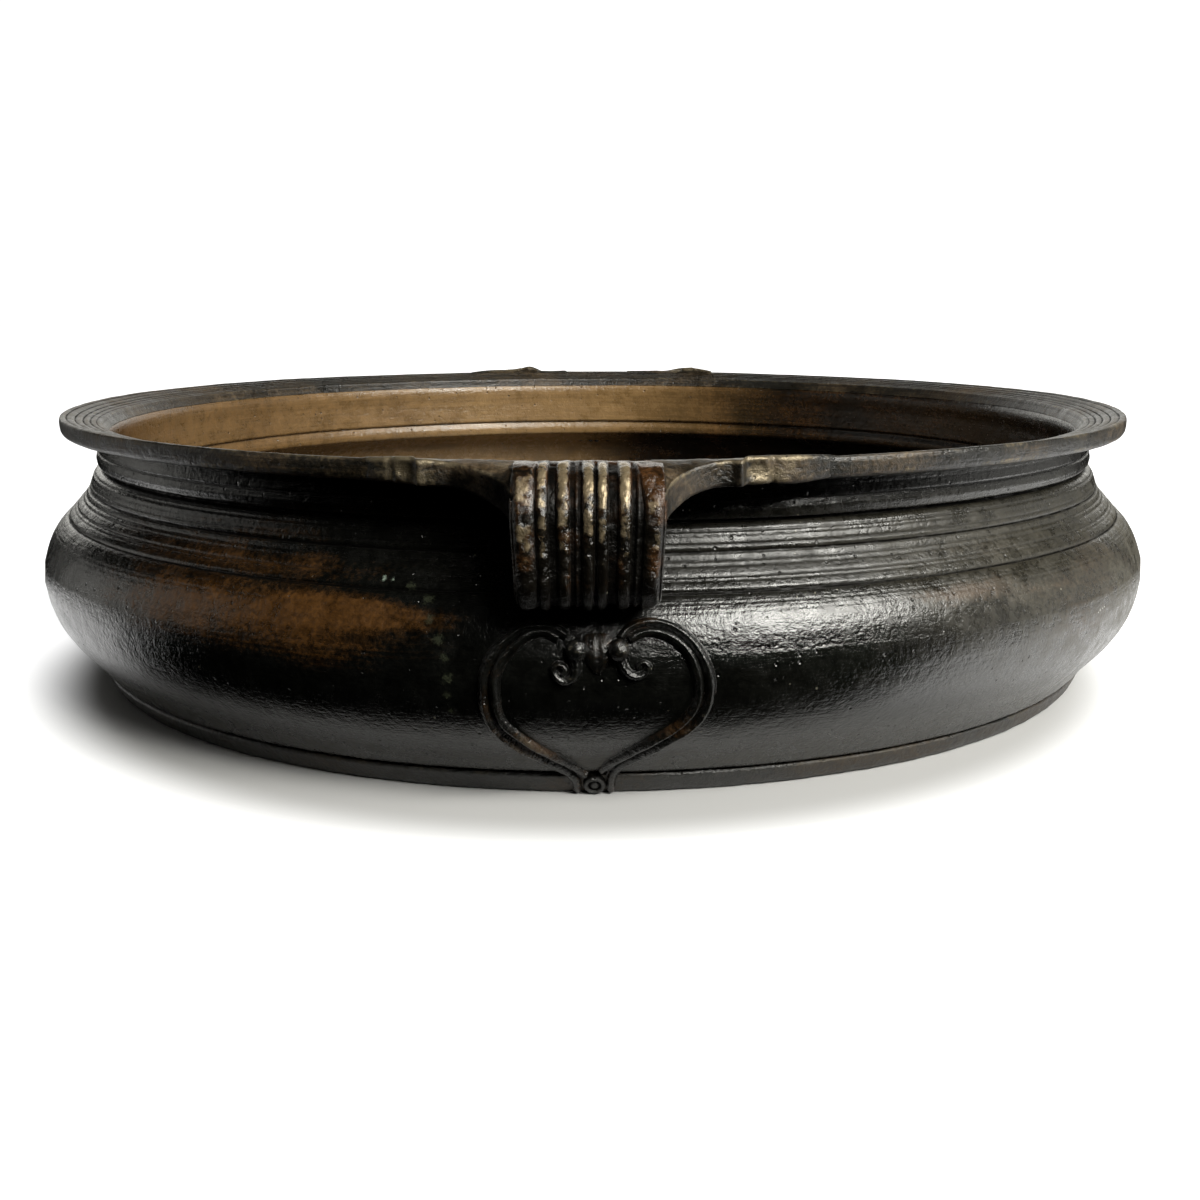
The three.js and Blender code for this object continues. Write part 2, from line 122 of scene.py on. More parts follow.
# Wings, as (place across, reach outside the rim circle, top height, bottom height).
WING_RIGHT = [
    (20.5, 24.0, 110.5, 99.0), (24.0, 22.5, 112.5, 102.6), (26.0, 18.0, 114.8, 104.6),
    (28.8, 13.5, 116.6, 106.4), (33.0, 9.2, 118.2, 108.8), (38.0, 6.0, 119.4, 110.4),
    (43.0, 3.8, 120.0, 111.0), (47.0, 4.4, 120.3, 111.2), (50.4, 6.4, 120.6, 111.4),
    (51.2, 5.0, 120.9, 111.6), (52.0, 3.6, 121.0, 111.6), (56.0, 3.4, 121.2, 111.6),
    (59.5, 3.0, 121.2, 111.8), (61.0, 2.0, 121.1, 112.0), (63.0, 2.6, 121.1, 111.6),
    (68.0, 2.8, 121.0, 111.4), (74.0, 2.0, 120.7, 111.8), (79.0, 0.8, 120.3, 112.2),
    (83.0, -0.6, 120.0, 112.6),
]
WING_LEFT = [
    (20.5, 24.0, 110.5, 99.0), (24.2, 22.5, 112.5, 102.6), (26.0, 18.4, 114.6, 104.4),
    (29.0, 14.0, 116.4, 106.2), (33.0, 10.6, 117.8, 108.2), (37.0, 8.2, 118.8, 109.6),
    (41.0, 6.2, 119.5, 110.4), (45.0, 4.6, 119.9, 111.0), (49.0, 4.8, 120.2, 111.3),
    (53.0, 5.4, 120.5, 111.5), (56.3, 6.2, 120.7, 111.6), (57.0, 4.4, 120.9, 111.8),
    (58.0, 3.2, 121.0, 111.8), (61.0, 3.0, 121.0, 111.9), (64.0, 2.6, 120.9, 112.0),
    (65.5, 1.4, 120.6, 112.1), (68.0, 1.6, 120.4, 112.1), (72.0, 0.9, 120.2, 112.3),
    (76.0, -0.6, 120.0, 112.6),
]
# How much the rear wings stand up over the rim, as (place across, half width, rise), by side.
REAR_WING_RISES = {1.0: (45.0, 6.5, 2.7), -1.0: (64.0, 12.0, 1.5)}
WEB_TOP = 120.1
WEB_CURVE = 1.9
# Dimples in the wings' faces, as (place across, height, half width, half height, depth).
DIMPLE_RIGHT = (55.6, 116.6, 3.4, 2.9, 1.0)
DIMPLE_LEFT = (60.8, 116.6, 2.9, 2.6, 0.9)

# The heart's cords, as (place across, height) on the belly, from the foot up to the beads.
HEART_SHIFT = 1.1
CORDS = {
    "heart_outer_cord_right": [
        (4.7, 1.8), (4.9, 6.5), (7.0, 11.2), (15.4, 18.1), (24.5, 25.1), (31.3, 30.2), (35.6, 35.7),
        (37.2, 40.7), (37.6, 47.0), (36.0, 53.4), (31.0, 61.0), (25.7, 64.9), (20.2, 66.7),
        (14.7, 66.7), (10.0, 65.1), (7.5, 62.5),
    ],
    "heart_outer_cord_left": [
        (-7.2, 1.8), (-7.4, 5.5), (-9.8, 8.8), (-14.7, 12.5), (-22.0, 17.7), (-29.2, 23.5),
        (-34.3, 29.2), (-36.9, 35.0), (-38.0, 43.0), (-37.3, 51.2), (-34.9, 56.5), (-30.0, 61.7),
        (-23.9, 65.1), (-18.4, 65.7), (-14.0, 65.1), (-10.0, 63.0),
    ],
    "heart_inner_cord_right": [
        (1.2, 10.2), (4.7, 13.8), (11.5, 19.5), (20.0, 25.9), (24.3, 28.9), (30.5, 34.9),
        (33.1, 39.6), (33.8, 45.7), (33.2, 50.5), (28.6, 59.2), (23.7, 62.6), (18.7, 64.0),
        (13.8, 63.5), (10.5, 61.8),
    ],
    "heart_inner_cord_left": [
        (-4.0, 8.0), (-8.3, 12.2), (-14.0, 16.7), (-20.4, 21.6), (-27.2, 27.7), (-31.8, 32.9),
        (-33.7, 38.5), (-34.4, 44.6), (-34.0, 50.2), (-31.9, 55.0), (-27.2, 60.0), (-22.2, 63.4),
        (-17.0, 64.0), (-12.8, 62.2),
    ],
}
SCROLLS = {
    "heart_scroll_right": [
        (7.4, 56.6), (8.4, 53.4), (10.4, 50.9), (13.2, 50.0), (16.0, 51.2), (16.9, 53.3),
        (15.4, 54.6), (13.6, 53.9), (13.7, 52.4),
    ],
    "heart_scroll_left": [
        (-7.4, 56.2), (-6.9, 52.6), (-7.9, 49.7), (-10.6, 48.4), (-13.4, 49.8), (-14.5, 52.2),
        (-13.3, 54.0), (-11.3, 53.6), (-10.5, 51.8), (-11.6, 50.6),
    ],
}
BEADS = {"heart_bead_left": -6.7, "heart_bead_right": 7.0}
BEAD_HEIGHT = 58.6
BEAD_RADIUS = 3.65
BEAD_STAND_OUT = 1.9
BOSS_PLACE = -1.0
BOSS_HEIGHT = 4.3
BOSS_RADIUS = 3.9

FRONT = 0.0
REAR = math.pi

# ---------------------------------------------------------------- curves and noise


def smooth(low, high, value):
    """0 below low, 1 above high, and a soft step between."""
    part = np.clip((value - low) / (high - low), 0.0, 1.0)
    return part * part * (3.0 - 2.0 * part)


def bump(value, centre, half_width):
    """1 at the centre, falling softly to 0."""
    return np.exp(-(((value - centre) / half_width) ** 2))


def curve_through(points, step):
    """Points about step apart on a smooth curve through the given ones."""
    knots = np.array(points, float)
    lengths = np.linalg.norm(np.diff(knots, axis=0), axis=1)
    at = np.concatenate([[0.0], np.cumsum(lengths)])
    slopes = np.gradient(knots, at, axis=0)
    count = max(2, int(round(at[-1] / step)) + 1)
    place = np.linspace(0.0, at[-1], count)
    span = np.clip(np.searchsorted(at, place, side="right") - 1, 0, len(lengths) - 1)
    width = lengths[span][:, None]
    t = (place - at[span])[:, None] / width
    start, end = knots[span], knots[span + 1]
    rise, fall = slopes[span] * width, slopes[span + 1] * width
    return (
        (2 * t**3 - 3 * t**2 + 1) * start
        + (t**3 - 2 * t**2 + t) * rise
        + (3 * t**2 - 2 * t**3) * end
        + (t**3 - t**2) * fall
    )


def join_runs(*runs):
    """One outline from (points, step) runs. Each run starts where the last one ended, or near it."""
    parts = [curve_through(points, step) for points, step in runs]
    kept = [parts[0]]
    for part in parts[1:]:
        starts_there = np.linalg.norm(part[0] - kept[-1][-1]) < 1e-6
        kept.append(part[1:] if starts_there else part)
    return np.concatenate(kept)


def lumps(points, size, seed):
    """Smooth noise from -1 to 1 at each point, with lumps about size across."""
    table = np.random.default_rng(seed).uniform(-1.0, 1.0, 4096)
    scaled = points / size
    cell = np.floor(scaled).astype(np.int64)
    part = scaled - cell
    part = part * part * (3.0 - 2.0 * part)
    total = np.zeros(points.shape[:-1])
    for corner in itertools.product((0, 1), repeat=3):
        x, y, z = np.moveaxis(cell + np.array(corner), -1, 0)
        index = ((x * 73856093) ^ (y * 19349663) ^ (z * 83492791)) % len(table)
        weight = np.prod(np.where(np.array(corner) == 1, part, 1.0 - part), axis=-1)
        total += weight * table[index]
    return total


def uneven(points):
    """The whole casting's slight unevenness: its radius and height drift round the bowl."""
    x, y, z = np.moveaxis(points, -1, 0)
    radius = np.hypot(x, y)
    angle = np.arctan2(y, x)
    drift = (
        0.28 * np.sin(2 * angle + 0.7)
        + 0.16 * np.sin(3 * angle + 2.1 + z / 40.0)
        + 0.10 * np.sin(7 * angle + 0.4 + z / 23.0)
        + 0.05 * np.sin(13 * angle + 1.9 - z / 17.0)
    )
    lift = 0.16 * np.sin(2 * angle + 2.6) + 0.12 * np.sin(5 * angle + 0.9) + 0.06 * np.sin(11 * angle)
    near_wall = smooth(60.0, 200.0, radius)
    scale = 1.0 + drift * near_wall / np.maximum(radius, 1.0)
    return np.stack([x * scale, y * scale, z + lift * near_wall * z / RIM_TOP], axis=-1)


# ---------------------------------------------------------------- meshes


def make_piece(name, points, faces, layers, nodes, material):
    """A smooth-shaded mesh from points in millimetres, which replaces the CAD nodes on the root body."""
    mesh = bpy.data.meshes.new(name)
    mesh.from_pydata((points.reshape(-1, 3) * MM).tolist(), [], faces)
    for layer, values in layers.items():
        attribute = mesh.attributes.new(layer, "FLOAT", "POINT")
        attribute.data.foreach_set("value", np.clip(values, 0.0, 1.0).astype(np.float32).ravel())
    mesh.shade_smooth()
    mesh.materials.append(material)
    piece = bpy.data.objects.new(name, mesh)
    bpy.context.scene.collection.objects.link(piece)
    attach(piece, "root")
    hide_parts(*nodes)


def grid_faces(rows, columns, close_rows, close_columns):
    """Quads over a grid of rows x columns points, wrapped round where it closes."""
    row = np.arange(rows if close_rows else rows - 1)
    column = np.arange(columns if close_columns else columns - 1)
    r, c = np.meshgrid(row, column, indexing="ij")
    r_next, c_next = (r + 1) % rows, (c + 1) % columns
    corners = [r * columns + c, r * columns + c_next, r_next * columns + c_next, r_next * columns + c]
    return np.stack(corners, axis=-1).reshape(-1, 4).tolist()


def bar_faces(rows, columns):
    """The sides of a bar whose sections are the grid's rows, and one face over each end."""
    first = list(range(columns))[::-1]
    last = list(range((rows - 1) * columns, rows * columns))
    return grid_faces(rows, columns, False, True) + [first, last]


def outline_normals(outline, closed):
    """Outward normals of an outline that runs with its solid on the left."""
    if closed:
        tangent = np.roll(outline, -1, axis=0) - np.roll(outline, 1, axis=0)
    else:
        tangent = np.gradient(outline, axis=0)
    tangent /= np.maximum(np.linalg.norm(tangent, axis=1, keepdims=True), 1e-9)
    return np.stack([tangent[:, 1], -tangent[:, 0]], axis=1)


def outline_crests(outline, closed, reach):
    """How far each point stands proud of the chord between its neighbours, below 0 in a hollow."""
    normals = outline_normals(outline, closed)
    before = np.roll(outline, reach, axis=0)
    after = np.roll(outline, -reach, axis=0)
    if not closed:
        before[:reach] = outline[0]
        after[-reach:] = outline[-1]
    return np.sum((outline - (before + after) / 2.0) * normals, axis=1)


def turned_grid(outline, closed, turns, cut, grain):
    """A turned body: angles x outline points, with its lines cut and its cast grain raised."""
    normals = outline_normals(outline, closed)
    angle = np.arange(turns) * 2.0 * np.pi / turns
    around, radius = np.meshgrid(angle, outline[:, 0], indexing="ij")
    height = np.broadcast_to(outline[:, 1], around.shape)
    rough_points = np.stack([radius * np.cos(around), radius * np.sin(around), height], axis=-1)
    fade = 1.0 + 0.25 * np.sin(3 * around + height / 3.0) + 0.15 * np.sin(5 * around - height / 5.0)
    offset = grain(rough_points) - cut[None, :] * fade
    radius = radius + offset * normals[None, :, 0]
    height = height + offset * normals[None, :, 1]
    return np.stack([radius * np.cos(around), radius * np.sin(around), height], axis=-1)


def line_cuts(places, lines):
    """The depth of the turned lines at each place."""
    return sum(depth * bump(places, centre, half) for centre, depth, half in lines)


# ---------------------------------------------------------------- patina zones


def from_front(points):
    """Angle round the bowl in degrees, 0 at the front handle and positive towards +X."""
    return np.degrees(np.arctan2(points[..., 0], -points[..., 1]))


def zone(points, angle, height, half_angle, half_height):
    """A soft patch on the wall."""
    return bump(from_front(points), angle, half_angle) * bump(points[..., 2], height, half_height)


# Brown patches on the outer wall, as (angle, height, half angle, half height, strength).
BROWN_PATCHES = [
    (-16, 67, 4, 4, 0.9), (-20, 68, 6, 4, 1.0), (-28, 66, 9, 6, 0.8), (-39, 62, 9, 8, 0.6),
    (-26, 56, 11, 6, 0.45),
    (-27, 80, 14, 4, 0.25), (31, 69, 4, 3, 0.75), (38, 67, 7, 5, 0.3), (36, 81, 9, 4, 0.25),
    (-45, 90, 20, 14, 0.3),
    (62, 55, 18, 22, 0.3), (160, 57, 24, 12, 0.75), (-130, 60, 20, 13, 0.6), (110, 50, 18, 14, 0.4),
]


def inside_gold_and_light(points):
    """Where the inside wall is painted a golden tan: the wall's own tan with painted light, most at the back
    and to the left, on the lit side.
    """
    x, y, z = np.moveaxis(points, -1, 0)
    upper = smooth(77.0, 86.0, z)
    lower = smooth(20.0, 70.0, z) * (1.0 - upper) * smooth(40.0, -20.0, x)
    lit_side = smooth(130.0, 0.0, x) * (0.50 + 0.50 * smooth(-210.0, -60.0, x)) * smooth(-60.0, 60.0, y)
    return (upper + lower) * lit_side * (0.94 + 0.10 * lumps(points, 24.0, 14))


# Dusty matt patches and painted sheen on the outer wall, such as the grey band low down and
# the sheen at the sides, as (angle, height, half angle, half height, strength).
DUST_AND_SHEEN_PATCHES = [
    (62, 48, 24, 34, 0.95), (34, 72, 9, 12, 0.5), (28, 88, 26, 12, 0.45), (88, 80, 26, 30, 0.5),
    (-78, 60, 16, 34, 0.35), (-55, 16, 26, 7, 0.55), (-20, 14, 26, 5, 0.5), (14, 15, 20, 7, 0.45),
    (150, 50, 40, 30, 0.5), (-130, 50, 30, 30, 0.4),
]


def wall_dust_and_sheen(points, inside):
    """How dusty the outer wall is, with its painted sheen."""
    patches = sum(
        strength * zone(points, angle, height, half_angle, half_height)
        for angle, height, half_angle, half_height, strength in DUST_AND_SHEEN_PATCHES
    )
    patchy = 1.0 + 0.3 * lumps(points, 18.0, 16) + 0.25 * lumps(points, 6.0, 17)
    return np.where(inside, 0.0, patches * patchy)


def body_warmth(points, inside):
    """Where the bowl is brown: patches outside where its patina has thinned, and most of the inside,
    where the wall's own brown carries painted light, strongest on the lit left side and the upper wall.
    """
    outside = sum(
        strength * zone(points, angle, height, half_angle, half_height)
        for angle, height, half_angle, half_height, strength in BROWN_PATCHES
    )
    patchy = 1.0 + 0.45 * lumps(points, 26.0, 11) + 0.3 * lumps(points, 9.0, 12)
    lit_side = smooth(150.0, -60.0, points[..., 0])
    upper = smooth(76.0, 84.0, points[..., 2])
    within = (0.35 + 0.65 * lit_side) * (0.55 + 0.45 * upper) * (0.9 + 0.25 * lumps(points, 40.0, 13))
    return np.where(inside, within, np.clip(outside * patchy, 0.0, 1.0))


# ---------------------------------------------------------------- materials


class Shader:
    """Short calls that add nodes to one material."""

    def __init__(self, name):
        self.material = bpy.data.materials.new(name)
        self.material.use_nodes = True
        self.nodes = self.material.node_tree.nodes
        self.links = self.material.node_tree.links
        self.nodes.clear()

    def put(self, socket, value):
        if isinstance(value, bpy.types.NodeSocket):
            self.links.new(value, socket)
        else:
            socket.default_value = value

    def node(self, kind, **settings):
        made = self.nodes.new(kind)
        for key, value in settings.items():
            setattr(made, key, value)
        return made

    def math(self, operation, first, second=0.0, clamp=False):
        made = self.node("ShaderNodeMath", operation=operation, use_clamp=clamp)
        self.put(made.inputs[0], first)
        self.put(made.inputs[1], second)
        return made.outputs[0]

    def blend(self, share, first, second):
        made = self.node("ShaderNodeMix", data_type="RGBA")
        self.put(made.inputs["Factor"], share)
        first_colour, second_colour = made.inputs[6], made.inputs[7]
        self.put(first_colour, first)
        self.put(second_colour, second)
        return made.outputs[2]

    def spread(self, value, low, high, to_low=0.0, to_high=1.0):
        made = self.node("ShaderNodeMapRange", interpolation_type="SMOOTHSTEP")
        for socket, number in zip(made.inputs, (value, low, high, to_low, to_high)):
            self.put(socket, number)
        return made.outputs[0]

    def noise(self, vector, scale, detail=5.0, roughness=0.55, distortion=0.0):
        made = self.node("ShaderNodeTexNoise")
        self.put(made.inputs["Vector"], vector)
        made.inputs["Scale"].default_value = scale
        made.inputs["Detail"].default_value = detail
        made.inputs["Roughness"].default_value = roughness
        made.inputs["Distortion"].default_value = distortion
        return made.outputs["Fac"]

    def cells(self, vector, scale):
        made = self.node("ShaderNodeTexVoronoi")
        self.put(made.inputs["Vector"], vector)
        made.inputs["Scale"].default_value = scale
        made.inputs["Randomness"].default_value = 1.0
        return made.outputs["Distance"], made.outputs["Color"]

    def layer(self, name):
        return self.node("ShaderNodeAttribute", attribute_name=name).outputs["Fac"]


def turned_coordinates(shader, position, along, across):
    """Coordinates that stretch noise round the bowl's axis, as lathe marks are, without a seam."""
    split = shader.node("ShaderNodeSeparateXYZ")
    shader.put(split.inputs[0], position)
    flat = shader.node("ShaderNodeCombineXYZ")
    shader.put(flat.inputs[0], split.outputs[0])
    shader.put(flat.inputs[1], split.outputs[1])
    length = shader.node("ShaderNodeVectorMath", operation="LENGTH")
    shader.put(length.inputs[0], flat.outputs[0])
    unit = shader.node("ShaderNodeVectorMath", operation="NORMALIZE")
    shader.put(unit.inputs[0], flat.outputs[0])
    around = shader.node("ShaderNodeSeparateXYZ")
    shader.put(around.inputs[0], unit.outputs[0])
    level = shader.math("ADD", split.outputs[2], length.outputs["Value"])
    joined = shader.node("ShaderNodeCombineXYZ")
    shader.put(joined.inputs[0], shader.math("MULTIPLY", around.outputs[0], along))
    shader.put(joined.inputs[1], shader.math("MULTIPLY", around.outputs[1], along))
    shader.put(joined.inputs[2], shader.math("MULTIPLY", level, across))
    return joined.outputs[0]


def wall_point(angle, height, radius):
    """A point on the wall in metres, from an angle from the front in degrees, and millimetres."""
    turn = math.radians(angle)
    return (radius * math.sin(turn) * MM, -radius * math.cos(turn) * MM, height * MM)


def add_mark(s, position, colour, mark):
    """A small mark on the wall, broken up by noise."""
    angle, height, radius, size, tint, share = mark
    away = s.node("ShaderNodeVectorMath", operation="DISTANCE")
    s.put(away.inputs[0], position)
    away.inputs[1].default_value = wall_point(angle, height, radius)
    ragged = s.math("MULTIPLY", s.math("SUBTRACT", s.noise(position, 900.0, 4.0, 0.7), 0.5), 2.6 * size * MM)
    distance = s.math("ADD", away.outputs["Value"], ragged)
    here = s.spread(distance, 0.25 * size * MM, size * MM, share, 0.0)
    return s.blend(here, colour, tint)


def add_specks(s, position, colour, tint):
    """Sparse small pale specks."""
    distance, picked = s.cells(position, 330.0)
    chance = s.node("ShaderNodeSeparateColor")
    s.put(chance.inputs[0], picked)
    crowd = s.spread(s.noise(position, 22.0, 2.0, 0.5), 0.45, 0.75, 0.99, 0.88)
    chosen = s.math("GREATER_THAN", chance.outputs[1], crowd)
    dot = s.spread(distance, 0.05, 0.17, 1.0, 0.0)
    return s.blend(s.math("MULTIPLY", s.math("MULTIPLY", chosen, dot), 0.75), colour, tint)


def patina_material(name, dark, brown, worn_and_highlit, roughness, streaks, grain, metal, marks_on_wall=()):
    """Brass under a dark patina.

    dark, brown and worn_and_highlit are its three colours; the last goes on scuffed crests and
    as painted highlights. streaks is the strength of the lathe marks and grain that of the cast
    skin. metal is how metallic the scuffed and highlit crests are.
    """
    s = Shader(name)
    position = s.node("ShaderNodeTexCoord").outputs["Object"]
    wear_and_highlight = s.layer("wear_and_highlight")
    warmth = s.layer("warmth")
    grime_and_shade = s.layer("grime_and_shade")
    gold_and_light = s.layer("gold_and_light")
    dust_and_sheen = s.layer("dust_and_sheen")

    marks = s.noise(turned_coordinates(s, position, 6.0, 900.0), 1.0, 4.0, 0.6)
    hairs = s.noise(turned_coordinates(s, position, 9.0, 2600.0), 1.0, 3.0, 0.6)
    ripple = s.noise(turned_coordinates(s, position, 60.0, 520.0), 1.0, 4.0, 0.6)
    blotches = s.noise(position, 24.0, 6.0, 0.6, 0.4)
    mottle = s.noise(position, 130.0, 5.0, 0.65)
    skin = s.noise(position, 560.0, 4.0, 0.62)
    sand = s.noise(position, 1500.0, 3.0, 0.6)
    pit_distance, pit_colour = s.cells(position, 360.0)
    pit_pick = s.node("ShaderNodeSeparateColor")
    s.put(pit_pick.inputs[0], pit_colour)
    pit_here = s.spread(pit_pick.outputs[0], 0.78, 0.86)
    pit_reach = s.spread(pit_pick.outputs[2], 0.0, 1.0, 0.12, 0.34)
    pit_size = s.spread(s.math("DIVIDE", pit_distance, pit_reach), 0.2, 1.0, 1.0, 0.0)
    pits = s.math("MULTIPLY", pit_here, pit_size)

    uneven_warmth = s.math("ADD", warmth, s.math("MULTIPLY", s.math("SUBTRACT", blotches, 0.5), 1.5))
    uneven_warmth = s.math("ADD", uneven_warmth, s.math("MULTIPLY", s.math("SUBTRACT", marks, 0.5), 1.1))
    uneven_warmth = s.math("ADD", uneven_warmth, s.math("MULTIPLY", s.math("SUBTRACT", skin, 0.5), 1.0))
    brown_share = s.math("MULTIPLY", s.spread(uneven_warmth, 0.08, 1.05), s.spread(warmth, 0.0, 0.25))
    colour = s.blend(brown_share, dark, brown)
    tone = s.math("MULTIPLY", s.spread(mottle, 0.3, 0.72, 0.6, 1.35), s.spread(skin, 0.3, 0.7, 0.7, 1.3))
    toned = s.node("ShaderNodeVectorMath", operation="SCALE")
    s.put(toned.inputs[0], colour)
    s.put(toned.inputs["Scale"], tone)
    colour = toned.outputs[0]

    # The gold_and_light layer lays a light tan on the inside wall: its own tan with painted light.
    lit_tan_tone = s.node("ShaderNodeVectorMath", operation="SCALE")
    lit_tan_tone.inputs[0].default_value = LIT_TAN
    s.put(lit_tan_tone.inputs["Scale"], s.spread(s.math("ADD", marks, mottle), 0.6, 1.4, 0.72, 1.2))
    lit_tan_share = s.math("MULTIPLY", gold_and_light, s.spread(blotches, 0.25, 0.6, 0.7, 1.0))
    colour = s.blend(lit_tan_share, colour, lit_tan_tone.outputs[0])
    # The dust_and_sheen layer greys the wall: dusty matt patches and a painted sheen.
    patchy_dust_and_sheen = s.spread(s.math("ADD", skin, mottle), 0.7, 1.2, 0.35, 1.15)
    dust_and_sheen_share = s.math("MULTIPLY", dust_and_sheen, patchy_dust_and_sheen, clamp=True)
    colour = s.blend(dust_and_sheen_share, colour, DUST_AND_SHEEN)

    # The wear_and_highlight layer lightens scuffed crests and paints highlights on them.
    rubbed_and_highlit = s.math("ADD", wear_and_highlight, s.math("MULTIPLY", s.math("SUBTRACT", mottle, 0.55), 1.1))
    rubbed_and_highlit = s.math("ADD", rubbed_and_highlit, s.math("MULTIPLY", s.math("SUBTRACT", skin, 0.5), 0.9))
    rubbed_and_highlit_share = s.math("MULTIPLY", s.spread(rubbed_and_highlit, 0.35, 1.0), s.spread(wear_and_highlight, 0.04, 0.3))
    colour = s.blend(rubbed_and_highlit_share, colour, worn_and_highlit)
    # The grime_and_shade layer darkens hollows with dirt and painted shade, and dulls their gloss.
    grimy_and_shaded = s.math("MULTIPLY", grime_and_shade, s.spread(mottle, 0.3, 0.6, 0.6, 1.0), clamp=True)
    colour = s.blend(grimy_and_shaded, colour, GRIME_AND_SHADE)
    colour = s.blend(s.math("MULTIPLY", pits, PIT_SHARE), colour, PIT)
    colour = add_specks(s, position, colour, SPECK)
    for mark in marks_on_wall:
        colour = add_mark(s, position, colour, mark)

    rough = s.spread(mottle, 0.25, 0.75, roughness[0], roughness[1])
    rough = s.math("ADD", rough, s.math("MULTIPLY", s.math("SUBTRACT", hairs, 0.5), 0.22 * streaks))
    rough = s.math("ADD", rough, s.math("MULTIPLY", brown_share, 0.12))
    rough = s.math("ADD", rough, s.math("MULTIPLY", dust_and_sheen_share, 0.26))
    rough = s.math("ADD", rough, s.math("MULTIPLY", grimy_and_shaded, 0.25), clamp=True)

    relief = s.math("MULTIPLY", s.math("SUBTRACT", marks, 0.5), 0.00024 * streaks)
    for height, size in (
        (hairs, 0.00008 * streaks), (ripple, 0.00034 * streaks), (mottle, 0.0006 * grain),
        (skin, 0.00034 * grain), (sand, 0.00010 * grain),
    ):
        relief = s.math("ADD", relief, s.math("MULTIPLY", s.math("SUBTRACT", height, 0.5), size))
    relief = s.math("SUBTRACT", relief, s.math("MULTIPLY", pits, PIT_DEPTH))
    raised = s.node("ShaderNodeBump")
    raised.inputs["Strength"].default_value = 1.0
    raised.inputs["Distance"].default_value = 1.0
    s.put(raised.inputs["Height"], relief)

    shine = s.node("ShaderNodeBsdfPrincipled")
    s.put(shine.inputs["Base Color"], colour)
    s.put(shine.inputs["Roughness"], rough)
    s.put(shine.inputs["Metallic"], s.math("MULTIPLY", rubbed_and_highlit_share, metal, clamp=True))
    s.put(shine.inputs["Normal"], raised.outputs[0])
    shine.inputs["IOR"].default_value = PATINA_IOR
    s.put(shine.inputs["Specular IOR Level"], s.spread(grimy_and_shaded, 0.0, 1.0, CLEAN_GLOSS, GRIMY_AND_SHADED_GLOSS))
    output = s.node("ShaderNodeOutputMaterial")
    s.put(output.inputs["Surface"], shine.outputs[0])
    return s.material


PATINA_IOR = 1.75
CLEAN_GLOSS = 0.5
GRIMY_AND_SHADED_GLOSS = 0.03
PIT_DEPTH = 0.00030
PIT_SHARE = 0.7
PIT = (0.003, 0.003, 0.0026, 1.0)
GRIME_AND_SHADE = (0.003, 0.0027, 0.0022, 1.0)
SPECK = (0.38, 0.36, 0.28, 1.0)
LIT_TAN = (0.34, 0.205, 0.080)
DUST_AND_SHEEN = (0.070, 0.062, 0.042, 1)
GREEN_GREY = (0.055, 0.062, 0.038, 1)
VERDIGRIS = (0.34, 0.42, 0.34, 1)
PALE = (0.75, 0.75, 0.70, 1)
# Marks on the wall, as (angle, height, radius, size, colour, strength).
WALL_MARKS = [
    (-12.8, 73.0, 251.8, 2.6, GREEN_GREY, 0.6), (-12.4, 67.0, 256.3, 2.2, GREEN_GREY, 0.5),
    (-11.6, 61.0, 259.0, 2.4, GREEN_GREY, 0.6), (-11.0, 55.0, 260.8, 2.0, GREEN_GREY, 0.5),
    (-10.8, 48.0, 261.1, 2.6, GREEN_GREY, 0.7), (-10.9, 42.0, 260.2, 1.7, GREEN_GREY, 0.6),
    (-10.7, 36.0, 258.6, 1.5, GREEN_GREY, 0.6), (-10.4, 29.5, 255.5, 1.4, GREEN_GREY, 0.6),
    (-16.9, 78.4, 246.8, 1.5, VERDIGRIS, 0.9), (-16.2, 78.2, 246.8, 0.9, VERDIGRIS, 0.7),
    (-14.5, 76.6, 248.4, 2.2, GREEN_GREY, 0.7), (19.4, 21.5, 249.4, 0.9, PALE, 0.9),
    (49.5, 50.3, 260.9, 0.5, PALE, 1.0), (49.9, 50.8, 260.9, 0.6, PALE, 1.0),
    (50.5, 51.2, 260.9, 0.5, PALE, 1.0), (50.9, 51.4, 260.9, 0.4, PALE, 1.0),
]

MATERIALS = {
    "body_brass": patina_material(
        "dark_patina", (0.0042, 0.0045, 0.0038, 1), (0.080, 0.034, 0.007, 1), (0.20, 0.16, 0.10, 1),
        (0.13, 0.28), 0.45, 0.75, 0.25, WALL_MARKS,
    ),
    "rim_brass": patina_material(
        "rim_patina", (0.010, 0.009, 0.006, 1), (0.090, 0.060, 0.030, 1), (0.26, 0.21, 0.13, 1),
        (0.26, 0.46), 0.8, 1.1, 0.6,
    ),
    "foot_brass": patina_material(
        "foot_patina", (0.008, 0.008, 0.006, 1), (0.04, 0.026, 0.012, 1), (0.10, 0.085, 0.06, 1),
        (0.32, 0.5), 0.3, 1.6, 0.5,
    ),
    "strap_brass": patina_material(
        "strap_patina", (0.006, 0.005, 0.0036, 1), (0.075, 0.032, 0.010, 1), (0.42, 0.33, 0.20, 1),
        (0.10, 0.22), 0.0, 1.5, 0.6,
    ),
    "relief_brass": patina_material(
        "relief_patina", (0.0055, 0.0058, 0.005, 1), (0.07, 0.033, 0.010, 1), (0.17, 0.15, 0.11, 1),
        (0.14, 0.28), 0.0, 1.4, 0.7,
    ),
}

# ---------------------------------------------------------------- bowl, rim and foot

BOWL_TURNS = 306
RIM_TURNS = 540
FOOT_TURNS = 480
COARSE = 2.6
MEDIUM = 1.15
FINE = 0.42
FLOOR_STEP = 16.0


